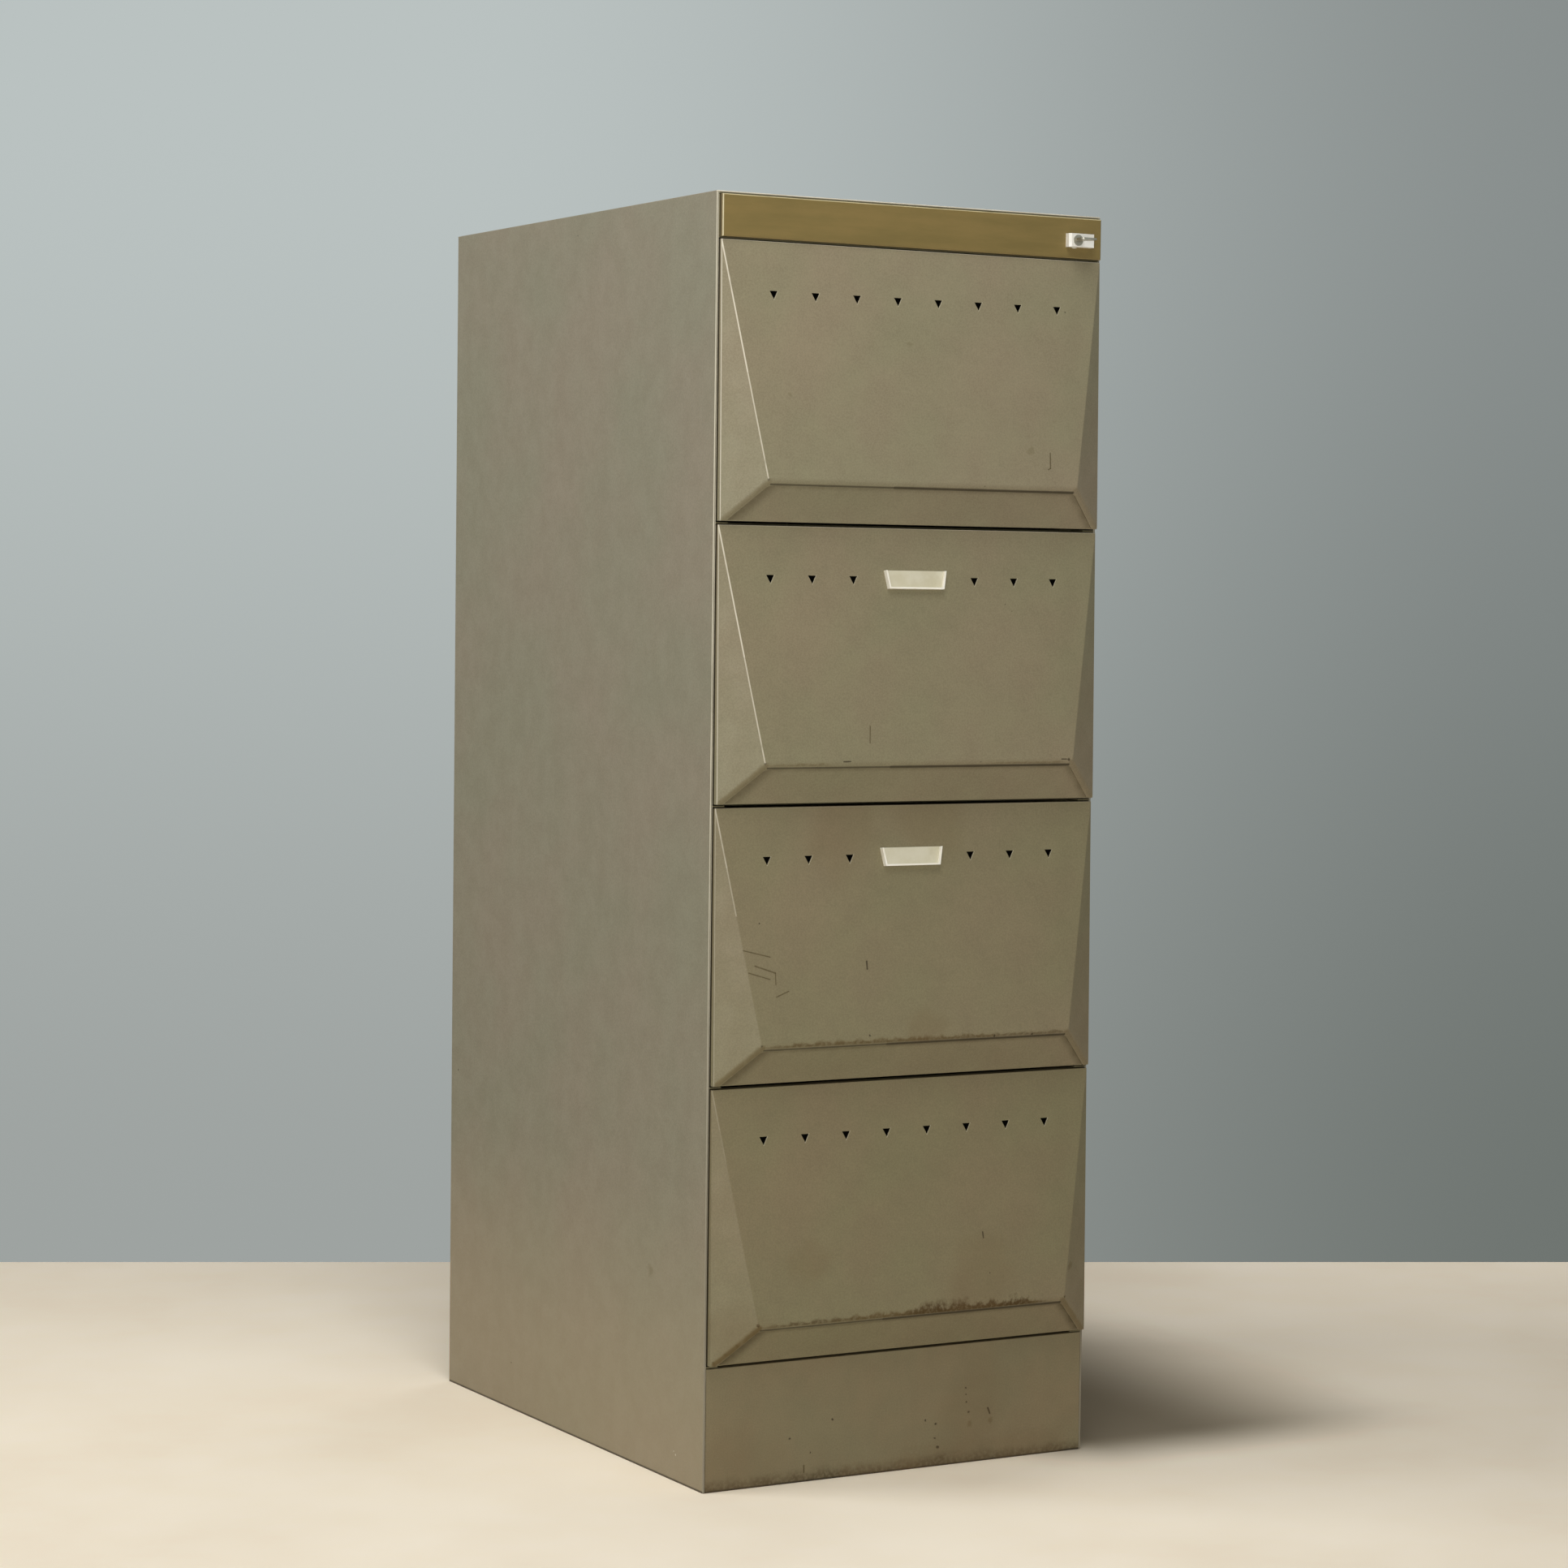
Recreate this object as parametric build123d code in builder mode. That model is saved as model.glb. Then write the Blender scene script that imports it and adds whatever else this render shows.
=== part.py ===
from build123d import *
import math
import os

# A tall office filing cabinet of folded sheet steel with suspended drawers.
# Millimetres. +X is the cabinet's right as seen from the front, +Y runs to the back, +Z is up.
# The origin lies on the floor under the middle of the whole object's box.

# ---- carcass
cabinet_height = 1320.0
cabinet_width = 462.0
cabinet_depth = 622.0
sheet = 1.0                # outer panels
frame_sheet = 1.5          # posts, rails and floor pan
hem_depth = 12.0           # front edge of a side panel, folded flat onto itself
side_fold = 15.0           # inward folds of a side panel along its top, bottom and rear
edge_radius = 0.8          # outside of a sharp sheet fold
top_lip = 3.0              # height of the top panel's turned-down front edge
back_fold = 12.0           # inward fold along the back panel's top
plinth_height = 127.5
plinth_fold = 24.0         # inward folds along the plinth's top and bottom
plinth_seam = 0.6          # open seam between plinth and hem
pan_height = 100.0         # underside of the floor pan
pan_fold = 15.0

# ---- posts and rails
post_width = 25.0          # from the side wall towards the drawers
post_depth = 40.0
post_setback = 30.0        # front posts, behind the carcass front
rail_top_gap = 4.0         # below the cabinet's top
divider_strip = 8.0
divider_lug = 14.0         # width of the tabs that show at both ends of each gap
divider_recess = 0.3
divider_rise = 1.0         # above the front that is under it

# ---- drawer fronts
drawer_count = 4
fascia_height = 48.5       # from the top drawer front's upper edge to the cabinet's top
front_gap = 4.0            # between one front and the next
front_side_gap = 1.0       # between a front and the hem beside it
front_sheet = 0.9
front_return = 12.0        # fronts reach this far behind the carcass front
top_out = 4.5              # how far a front's top edge stands before the carcass
bottom_out = 7.7           # the same at its bottom edge
ridge_out = 31.8           # the same at the ridge
ridge_rise = 41.4          # ridge above the front's bottom edge
ridge_inset = 42.2         # ridge ends, in from the front's side edges
ridge_radius = 8.0         # along the ridge and down to the lower corners
crease_radius = 3.0        # from the ridge ends up to the upper corners
lip_rise = 36.6            # lower edge of the pull lip, above the front's bottom edge
lip_margin = 6.5           # lip width along the slanting ends
lip_corner = 8.0
grip_recess = 2.4          # grip plate behind the lip at the top
grip_foot = 1.2            # and at the bottom
grip_lap = 3.0             # grip plate behind the lip's returns

# ---- marker holes and label holders
hole_count = 8
hole_pitch = 48.8
hole_drop = 54.1           # row's centre, below the front's upper edge
hole_wide = 9.4
hole_tall = 8.8
labelled_drawers = (2, 3)
label_top = 73.0
label_bottom = 66.0
label_tall = 19.0
label_thick = 5.0
label_rise = 1.1           # label's centre above the row of holes
label_rim = 1.8
label_floor = 1.6
card_thick = 0.6
card_gap = 0.2
peg_wide = 3.2
peg_tall = 3.0
peg_depth = 4.0
peg_play = 0.4             # between a peg and the top edge of its hole

# ---- drawer trays
tray_sheet = 0.8
tray_rear_gap = 35.0       # between the tray and the cabinet's back face
tray_floor = 14.0          # tray's underside above the front's bottom edge
tray_top_gap = 33.0        # tray's rolled tops below the front's upper edge
tray_back_drop = 55.0      # tray's back is this much lower than its sides
tray_hem = 8.0             # outward rolled top edge, carries suspension files
tray_hem_drop = 6.0

# ---- slides
slide_stack = 13.0         # width of the three nested members
slide_tall = 46.0
slide_sheet = 1.2
slide_rise = 60.0          # slide's centre above the front's bottom edge
slide_wall_gap = 2.0
slide_running_gap = 0.4
slide_start = 2.0          # slides begin this far behind the front posts' faces
slide_rear_gap = 10.0      # cabinet member ends before the rear posts' back faces
slide_stop = 18.0          # the moving members are this much shorter

# ---- fascia band and lock
band_gap = 2.5             # above the top drawer front
band_top_gap = 0.4         # below the top panel's lip
band_out = 7.0
band_radius = 1.5
lock_from_side = 37.4      # lock axis, in from the cabinet's right side
lock_from_top = 27.5       # lock axis, below the cabinet's top
block_wide = 30.5
block_tall = 14.2
block_thick = 8.0
block_bevel = 2.2
block_lock_offset = 10.6   # lock axis from the block's left end
plug_radius = 5.8
plug_clearance = 0.05
plug_proud = 0.4
barrel_radius = 8.0
barrel_clearance = 0.1
barrel_behind = 26.0       # barrel's rear end behind the carcass front
plug_tail = 1.0            # plug beyond the barrel
nut_across = 22.0
nut_thick = 4.0
keyway_wide = 7.4
keyway_tall = 2.2
keyway_depth = 26.0
key_clearance = 0.2
key_tip_gap = 2.0
key_neck_wide = 8.0
key_neck = 8.0
key_bow_wide = 20.0
key_bow_long = 14.0
key_bow_radius = 4.0
key_bow_thick = 2.0
key_hole_radius = 2.2

# ---- locking bar
lock_travel = 14.0
cam_thick = 2.5
cam_hub_radius = 6.0
cam_arm_wide = 8.0
cam_pin_radius = 2.0
cam_pin_clearance = 0.5
bar_thick = 3.0
bar_wide = 14.0
bar_inset = 7.0            # bar's right edge, in from the side wall's inner face
bar_setback = 3.0          # bar behind the post's front face
bar_head_tall = 13.0
bar_head_wall = 3.0        # metal left around the cam pin's slot
bar_tail = 12.0
bar_clearance = 1.0
hook_wide = 10.0
hook_thick = 3.0
hook_reach = 12.0          # hooks stand this far before the post's face
catch_drop = 82.0          # top of the catch's arm, below the front's upper edge
catch_sheet = 1.5
catch_wide = 11.0
catch_post_gap = 2.0       # catch's lip before the post's face
catch_hook_gap = 2.0       # unlocked hook above the catch's lip
guide_rise = 100.0         # above the front's bottom edge
guide_tall = 15.0
guide_wall = 1.0
guide_gap = 0.3

# ---- planes and lines worked out from the sizes above
key_grip = key_neck + key_bow_long
key_out = band_out + block_thick + plug_proud + key_grip
front_reach = max(key_out, ridge_out)
front_y = (front_reach - cabinet_depth) / 2
back_y = front_y + cabinet_depth
side_x = cabinet_width / 2
wall_x = side_x - sheet
hem_x = side_x - 2 * sheet
side_top = cabinet_height - sheet
front_half = hem_x - front_side_gap
post_x = wall_x - post_width
post_front = front_y + post_setback
rear_post_back = back_y - 2 * sheet
pan_top = pan_height + frame_sheet
lowest_front = plinth_height + front_gap
top_front_edge = cabinet_height - fascia_height
drawer_pitch = (top_front_edge + front_gap - lowest_front) / drawer_count
front_height = drawer_pitch - front_gap
hole_rise = front_height - hole_drop
rail_top = cabinet_height - rail_top_gap
rail_bottom = top_front_edge + front_gap / 3
tray_x = post_x - slide_stack
tray_front = front_y + front_return
tray_end = back_y - tray_rear_gap
tray_side = front_height - tray_floor - tray_top_gap
tray_back = tray_side - tray_back_drop
slide_front = post_front + slide_start
cabinet_slide_length = rear_post_back - slide_rear_gap - slide_front
moving_slide_length = cabinet_slide_length - slide_stop
catch_rise = front_height - catch_drop
lock_x = side_x - lock_from_side
lock_z = cabinet_height - lock_from_top
cut_margin = 5.0           # cutting bodies overshoot by this much
cam_swing = math.radians(45)
cam_arm = lock_travel / 2 / math.sin(cam_swing)
catch_lip = lock_travel - catch_hook_gap + bar_clearance


def front_bottom(drawer):
    """Height of a drawer front's bottom edge; drawer 1 is the top one."""
    return lowest_front + (drawer_count - drawer) * drawer_pitch


def block(x_span, y_span, z_span, mode=Mode.ADD):
    """A box between two x, two y and two z values, in the part being built."""
    spans = (x_span, y_span, z_span)
    middle = tuple((low + high) / 2 for low, high in spans)
    with Locations(middle):
        Box(*(high - low for low, high in spans), mode=mode)


def write(builder, name):
    """Names a finished piece and writes it to its own file."""
    builder.part.label = name
    export_step(builder.part, f"parts/{name}.step")


def facing_front(y):
    """Upright plane at one y; its local axes are X and Z, and it extrudes to the front."""
    return Plane.XZ.offset(-y)


def front_point(out, rise, drawer):
    """Y and Z of a point that lies before the carcass front, above a front's bottom edge."""
    return (front_y - out, front_bottom(drawer) + rise)


# ---------------------------------------------------------------- carcass panels


def side_panel():
    """Left side: one sheet, hemmed at the front and folded inwards on its other edges."""
    with BuildPart() as panel:
        with BuildSketch():
            with BuildLine():
                Polyline(
                    (-side_x, front_y),
                    (-hem_x, front_y),
                    (-hem_x, front_y + hem_depth),
                    (-wall_x, front_y + hem_depth),
                    (-wall_x, back_y - sheet),
                    (-side_x + side_fold, back_y - sheet),
                    (-side_x + side_fold, back_y),
                    (-side_x, back_y),
                    close=True,
                )
            make_face()
        extrude(amount=side_top)
        corners = panel.edges().filter_by(Axis.Z).group_by(Axis.X)[0]
        fillet(corners, edge_radius)
        fold_x = (-side_x + edge_radius, -side_x + side_fold)
        block(fold_x, (front_y + hem_depth, back_y - sheet), (side_top - sheet, side_top))
        block(fold_x, (front_y + plinth_fold + sheet, back_y - sheet), (0, sheet))
    return panel


def back_panel():
    with BuildPart() as panel:
        with BuildSketch(Plane.YZ.offset(-wall_x)):
            with BuildLine():
                Polyline(
                    (back_y - sheet, sheet),
                    (back_y - sheet, side_top - sheet),
                    (back_y - 2 * sheet - back_fold, side_top - sheet),
                    (back_y - 2 * sheet - back_fold, side_top - 2 * sheet),
                    (back_y - 2 * sheet, side_top - 2 * sheet),
                    (back_y - 2 * sheet, sheet),
                    close=True,
                )
            make_face()
        extrude(amount=2 * wall_x)
    return panel


def top_panel():
    with BuildPart() as panel:
        block((-side_x, side_x), (front_y, back_y), (side_top, cabinet_height))
        rim = panel.faces().sort_by(Axis.Z)[-1].edges()
        fillet(rim, edge_radius)
        block((-hem_x, hem_x), (front_y, front_y + sheet), (cabinet_height - top_lip, side_top))
    return panel


def plinth():
    half = hem_x - plinth_seam
    with BuildPart() as front:
        with BuildSketch(Plane.YZ.offset(-half)):
            with BuildLine():
                Polyline(
                    (front_y + plinth_fold, 0),
                    (front_y, 0),
                    (front_y, plinth_height),
                    (front_y + plinth_fold, plinth_height),
                    (front_y + plinth_fold, plinth_height - sheet),
                    (front_y + sheet, plinth_height - sheet),
                    (front_y + sheet, sheet),
                    (front_y + plinth_fold, sheet),
                    close=True,
                )
            make_face()
        extrude(amount=2 * half)
        outer = front.edges().filter_by(Axis.X).group_by(Axis.Y)[0]
        fillet(outer, edge_radius)
    return front


def floor_pan():
    y_span = (front_y + sheet, rear_post_back)
    low = pan_height - pan_fold
    with BuildPart() as pan:
        block((-hem_x, hem_x), y_span, (low, pan_top))
        hollow_x = hem_x - frame_sheet
        hollow_y = (y_span[0] + frame_sheet, y_span[1] - frame_sheet)
        block((-hollow_x, hollow_x), hollow_y, (low, pan_height), Mode.SUBTRACT)
    return pan


# ---------------------------------------------------------------- posts and rails


def post(y_start, z_top):
    """Left post: a channel whose open side is closed by the side panel."""
    with BuildPart() as channel:
        block((-wall_x, -post_x), (y_start, y_start + post_depth), (pan_top, z_top))
        hollow_y = (y_start + frame_sheet, y_start + post_depth - frame_sheet)
        block((-wall_x, -post_x - frame_sheet), hollow_y, (pan_top, z_top), Mode.SUBTRACT)
    return channel


def bar_x_span():
    """The locking bar's two sides."""
    right = wall_x - bar_inset
    return (right - bar_wide, right)


def bar_y_span():
    return (post_front + bar_setback, post_front + bar_setback + bar_thick)


def across_bar(width):
    """An x span of the given width, centred on the locking bar."""
    middle = sum(bar_x_span()) / 2
    return (middle - width / 2, middle + width / 2)


def hook_tip(drawer):
    """Lowest point of the locking bar's hook for one drawer, unlocked."""
    return front_bottom(drawer) + catch_rise + catch_lip + catch_hook_gap


def hook_arm(drawer):
    """Underside and top of the same hook's arm, unlocked."""
    low = hook_tip(drawer) + catch_lip
    return (low, low + hook_thick)


def widened(span, by):
    return (span[0] - by, span[1] + by)


def right_front_post(plain_post):
    """The locking bar runs in this post, and its hooks pass through slots in the front."""
    slot_x = across_bar(hook_wide + 2 * bar_clearance)
    slot_y = (post_front, post_front + frame_sheet)
    with BuildPart() as channel:
        mirror(plain_post.part, about=Plane.YZ)
        for drawer in range(1, drawer_count + 1):
            low, high = hook_arm(drawer)
            slot_z = (low - lock_travel - bar_clearance, high + bar_clearance)
            block(slot_x, slot_y, slot_z, Mode.SUBTRACT)
    return channel


def top_rail():
    """Channel across the front above the drawers; its lower leg sits on the front posts."""
    with BuildPart() as rail:
        front_wall = (front_y, front_y + frame_sheet)
        block((-hem_x, hem_x), front_wall, (rail_bottom, rail_top))
        lower_leg = (rail_bottom, rail_bottom + frame_sheet)
        block((-hem_x, hem_x), (front_y, post_front), lower_leg)
        block((-wall_x, wall_x), (front_y + hem_depth, post_front + post_depth), lower_leg)
        upper_leg = (rail_top - frame_sheet, rail_top)
        block((-hem_x, hem_x), (front_y, post_front), upper_leg)
        bar_hole = (widened(bar_x_span(), bar_clearance), widened(bar_y_span(), bar_clearance))
        block(*bar_hole, lower_leg, Mode.SUBTRACT)
        with BuildSketch(facing_front(front_y)):
            with Locations((lock_x, lock_z)):
                Circle(barrel_radius + barrel_clearance)
        extrude(amount=-frame_sheet, mode=Mode.SUBTRACT)
    return rail


def divider_rails():
    """One flat strip in each gap, with a tab at both ends that reaches the front."""
    with BuildPart() as rails:
        for drawer in range(1, drawer_count + 1):
            low = front_bottom(drawer) - front_gap + divider_rise
            z_span = (low, low + frame_sheet)
            block((-hem_x, hem_x), (post_front - divider_strip, post_front), z_span)
            lug_y = (front_y + divider_recess, post_front - divider_strip)
            block((-hem_x, divider_lug - hem_x), lug_y, z_span)
            block((hem_x - divider_lug, hem_x), lug_y, z_span)
    return rails


# ---------------------------------------------------------------- slides


def slide_channel(wall_side, open_side, length, half_tall, drawer):
    """A channel on the left, from the outside of its wall to the ends of its lips."""
    middle = front_bottom(drawer) + slide_rise
    direction = math.copysign(1, open_side - wall_side)
    y_span = (slide_front, slide_front + length)
    wall = sorted((wall_side, open_side))
    hollow = sorted((wall_side + direction * slide_sheet, open_side))
    block(wall, y_span, (middle - half_tall, middle + half_tall))
    inner = half_tall - slide_sheet
    block(hollow, y_span, (middle - inner, middle + inner), Mode.SUBTRACT)


def slide_pair(name, wall_side, open_side, length, half_tall, drawer):
    with BuildPart() as pair:
        slide_channel(wall_side, open_side, length, half_tall, drawer)
        mirror(about=Plane.YZ)
    write(pair, name)


cabinet_half = slide_tall / 2
middle_half = cabinet_half - slide_sheet - slide_running_gap
drawer_half = middle_half - slide_sheet - slide_running_gap
cabinet_slide_open = -tray_x - slide_wall_gap / 2
middle_slide_wall = -post_x + slide_sheet + slide_wall_gap
middle_slide_open = -tray_x - slide_sheet - slide_running_gap
drawer_slide_open = middle_slide_wall + slide_sheet + slide_wall_gap / 2


# ---------------------------------------------------------------- drawer fronts


def front_profile(drawer, back):
    """Side view of a front: flat top and bottom, a long slope to the ridge, a short one back."""
    return (
        front_point(-back, 0, drawer),
        front_point(bottom_out, 0, drawer),
        front_point(ridge_out, ridge_rise, drawer),
        front_point(top_out, front_height, drawer),
        front_point(-back, front_height, drawer),
    )


def facet_plane(side, drawer):
    """The plane of a slanting end facet; side is -1 for the left end and 1 for the right."""
    top = Vector(side * front_half, *front_point(top_out, front_height, drawer))
    foot = Vector(side * front_half, *front_point(bottom_out, 0, drawer))
    ridge_end = Vector(side * (front_half - ridge_inset), *front_point(ridge_out, ridge_rise, drawer))
    normal = (foot - top).cross(ridge_end - top)
    if normal.Y > 0:
        normal = normal * -1
    return Plane(origin=top, x_dir=foot - top, z_dir=normal)


def grip_plane(drawer):
    """The face of the grip recess: it sinks behind the lip and comes forward at the bottom."""
    slope = (ridge_out - bottom_out) / ridge_rise
    foot = Vector(0, *front_point(bottom_out - grip_foot, 0, drawer))
    head = Vector(0, *front_point(bottom_out + slope * lip_rise - grip_recess, lip_rise, drawer))
    up = head - foot
    return Plane(origin=foot, x_dir=(1, 0, 0), z_dir=Vector(1, 0, 0).cross(up)), up.length


def grip_outline(drawer, grow, below):
    """Outline of the grip recess on its plane, rounded at its two upper corners."""
    length = grip_plane(drawer)[1]
    foot = front_half - lip_margin + grow
    head = front_half - lip_margin - ridge_inset * lip_rise / ridge_rise + grow
    with BuildSketch(Plane.XY) as outline:
        with BuildLine():
            Polyline(
                (-foot, -below),
                (foot, -below),
                (foot, 0),
                (head, length + grow),
                (-head, length + grow),
                (-foot, 0),
                close=True,
            )
        make_face()
        fillet(outline.vertices().group_by(Axis.Y)[-1], lip_corner + grow)
    return outline.sketch


def front_form(drawer, inset, back):
    """The solid form of a front, drawn in by inset on every outer side."""
    with BuildPart() as form:
        with BuildSketch(Plane.YZ.offset(inset - front_half)):
            with BuildLine():
                Polyline(*front_profile(drawer, back + inset), close=True)
            make_face()
            if inset:
                offset(amount=-inset, mode=Mode.REPLACE)
        extrude(amount=2 * (front_half - inset))
        for side in (-1, 1):
            split(bisect_by=facet_plane(side, drawer).offset(-inset), keep=Keep.BOTTOM)
        low_creases = [e for e in form.edges() if is_low(e, drawer) and meets_ridge(e)]
        fillet(low_creases, ridge_radius - inset)
        high_creases = [e for e in form.edges() if not is_low(e, drawer) and meets_ridge(e)]
        fillet(high_creases, crease_radius - inset)
        plane = grip_plane(drawer)[0].offset(-inset)
        outline = plane * grip_outline(drawer, inset, cut_margin)
        extrude(outline, amount=ridge_out, mode=Mode.SUBTRACT)
    return form


def is_low(edge, drawer):
    return edge.center().Z < front_bottom(drawer) + front_height / 2


def meets_ridge(edge):
    """True for the ridge and the creases that run from its ends to the front's corners."""
    foremost = min(vertex.Y for vertex in edge.vertices())
    return foremost < front_y - ridge_out + ridge_radius and edge.length > ridge_rise


def slope_plane(drawer):
    """The long slope's face, with its origin in the middle of the row of marker holes."""
    fall = (ridge_out - top_out) / (front_height - ridge_rise)
    out = top_out + fall * (front_height - hole_rise)
    origin = Vector(0, *front_point(out, hole_rise, drawer))
    up = Vector(0, ridge_out - top_out, front_height - ridge_rise)
    return Plane(origin=origin, x_dir=(1, 0, 0), z_dir=Vector(1, 0, 0).cross(up))


def drawer_front(drawer):
    """Pressed front skin, open at the back and under its pull lip."""
    with BuildPart() as skin:
        add(front_form(drawer, 0, front_return).part)
        hollow = front_form(drawer, front_sheet, front_return + cut_margin)
        add(hollow.part, mode=Mode.SUBTRACT)
        recess_floor = grip_plane(drawer)[0] * grip_outline(drawer, 0, cut_margin)
        extrude(recess_floor, amount=-front_sheet, mode=Mode.SUBTRACT)
        with BuildSketch(slope_plane(drawer)) as holes:
            with GridLocations(hole_pitch, 0, hole_count, 1):
                Polygon(
                    (-hole_wide / 2, hole_tall / 2),
                    (hole_wide / 2, hole_tall / 2),
                    (0, -hole_tall / 2),
                    align=None,
                )
        extrude(holes.sketch, amount=cut_margin, both=True, mode=Mode.SUBTRACT)
    return skin


def grip_plate(drawer):
    """Flat plate behind the lip's returns; its foot stands on the skin's lower return."""
    with BuildPart() as plate:
        outline = grip_outline(drawer, grip_lap, cut_margin)
        extrude(grip_plane(drawer)[0].offset(-front_sheet) * outline, amount=-front_sheet)
        foot_level = Plane.XY.offset(front_bottom(drawer) + front_sheet)
        split(bisect_by=foot_level, keep=Keep.TOP)
    return plate


def inner_front(drawer):
    half = front_half - front_sheet
    low = front_bottom(drawer)
    z_span = (low + front_sheet, low + front_height - front_sheet)
    with BuildPart() as plate:
        block((-half, half), (tray_front - front_sheet, tray_front), z_span)
    return plate


def tray(drawer):
    """Drawer body: floor, two full sides with rolled tops, and a lower back."""
    low = front_bottom(drawer) + tray_floor
    top = low + tray_side
    y_span = (tray_front, tray_end)
    inner_x = tray_x - tray_sheet
    with BuildPart() as body:
        block((-tray_x, tray_x), y_span, (low, top))
        inner_y = (y_span[0], y_span[1] - tray_sheet)
        block((-inner_x, inner_x), inner_y, (low + tray_sheet, top), Mode.SUBTRACT)
        block((-inner_x, inner_x), y_span, (low + tray_back, top), Mode.SUBTRACT)
        for side in (-1, 1):
            hem = sorted((side * tray_x, side * (tray_x + tray_hem)))
            turned = sorted((side * (tray_x + tray_hem - tray_sheet), side * (tray_x + tray_hem)))
            block(hem, y_span, (top - tray_sheet, top))
            block(turned, y_span, (top - tray_hem_drop, top))
    return body


def catch(drawer):
    """Bracket behind the front: foot on the inner front, arm to the back, lip upwards."""
    low = front_bottom(drawer) + catch_rise
    y_end = post_front - catch_post_gap
    z_span = (low - catch_sheet, low + catch_lip)
    x_span = across_bar(catch_wide)
    with BuildPart() as bracket:
        block(x_span, (tray_front, y_end), z_span)
        gap_y = (tray_front + catch_sheet, y_end - catch_sheet)
        block(x_span, gap_y, (low, low + catch_lip), Mode.SUBTRACT)
    return bracket


# ---------------------------------------------------------------- label holders


def label_shape(inset):
    """Trapezoid, wider at its top; inset draws in the two ends and the bottom."""
    top = label_top / 2 - inset
    bottom = label_bottom / 2 - inset
    with BuildSketch(Plane.XY) as shape:
        with Locations((0, label_rise)):
            Polygon(
                (-top, label_tall / 2),
                (top, label_tall / 2),
                (bottom, inset - label_tall / 2),
                (-bottom, inset - label_tall / 2),
                align=None,
            )
    return shape.sketch


def label_holder(drawer):
    """Moulded holder, clipped into the two middle marker holes, open at its top."""
    face = slope_plane(drawer)
    with BuildPart() as holder:
        extrude(face * label_shape(0), amount=label_thick)
        pocket = face.offset(label_floor) * label_shape(label_rim)
        extrude(pocket, amount=label_thick, mode=Mode.SUBTRACT)
        with BuildSketch(face) as pegs:
            with Locations((0, hole_tall / 2 - peg_play - peg_tall / 2)):
                with GridLocations(hole_pitch, 0, 2, 1):
                    Rectangle(peg_wide, peg_tall)
        extrude(pegs.sketch, amount=-peg_depth)
    return holder


def label_card(drawer):
    with BuildPart() as card:
        outline = label_shape(label_rim + card_gap)
        extrude(slope_plane(drawer).offset(label_floor) * outline, amount=card_thick)
    return card


# ---------------------------------------------------------------- fascia band and lock


def fascia_band():
    """Shallow pressed cover on the top rail."""
    low = top_front_edge + band_gap
    high = cabinet_height - top_lip - band_top_gap
    with BuildPart() as band:
        block((-front_half, front_half), (front_y - band_out, front_y), (low, high))
        face = band.faces().sort_by(Axis.Y)[0]
        fillet(face.edges(), band_radius)
        back = band.faces().sort_by(Axis.Y)[-1]
        offset(amount=-sheet, openings=back)
        with BuildSketch(facing_front(front_y)):
            with Locations((lock_x, lock_z)):
                Circle(barrel_radius + barrel_clearance)
        extrude(amount=band_out, mode=Mode.SUBTRACT)
    return band


def lock_cylinder(radius, bore, y_front, y_rear):
    with BuildSketch(facing_front(y_rear)) as ring:
        with Locations((lock_x, lock_z)):
            Circle(radius)
            if bore:
                Circle(bore, mode=Mode.SUBTRACT)
    extrude(ring.sketch, amount=y_rear - y_front)


def lock_housing():
    """Block on the band's face, bevelled along its left end."""
    left = lock_x - block_lock_offset
    y_face = front_y - band_out - block_thick
    z_span = (lock_z - block_tall / 2, lock_z + block_tall / 2)
    with BuildPart() as housing:
        block((left, left + block_wide), (y_face, front_y - band_out), z_span)
        bevelled = housing.edges().filter_by(Axis.Z).group_by(Axis.Y)[0].sort_by(Axis.X)[0]
        chamfer(bevelled, block_bevel)
        rim = housing.faces().sort_by(Axis.Y)[0].edges()
        fillet(rim, edge_radius / 2)
        with BuildSketch(facing_front(front_y - band_out)):
            with Locations((lock_x, lock_z)):
                Circle(plug_radius + plug_clearance)
        extrude(amount=block_thick, mode=Mode.SUBTRACT)
    return housing


def lock_barrel():
    with BuildPart() as barrel:
        bore = plug_radius + plug_clearance
        lock_cylinder(barrel_radius, bore, front_y - band_out, front_y + barrel_behind)
    return barrel


def lock_nut():
    y_rear = front_y + frame_sheet + nut_thick
    with BuildPart() as nut:
        with BuildSketch(facing_front(y_rear)):
            with Locations((lock_x, lock_z)):
                RegularPolygon(nut_across / 2, 6, major_radius=False)
                Circle(barrel_radius + barrel_clearance, mode=Mode.SUBTRACT)
        extrude(amount=nut_thick)
    return nut


plug_face = front_y - band_out - block_thick - plug_proud
plug_rear = front_y + barrel_behind + plug_tail


def lock_plug():
    """Turning core with a slot for the key."""
    with BuildPart() as plug:
        lock_cylinder(plug_radius, 0, plug_face, plug_rear)
        slot_x = (lock_x - keyway_wide / 2, lock_x + keyway_wide / 2)
        slot_z = (lock_z - keyway_tall / 2, lock_z + keyway_tall / 2)
        block(slot_x, (plug_face, plug_face + keyway_depth), slot_z, Mode.SUBTRACT)
    return plug


cam_pin_x = lock_x + cam_arm * math.cos(cam_swing)
cam_pin_z = lock_z + cam_arm * math.sin(cam_swing)
cam_rear = plug_rear + cam_thick


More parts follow.
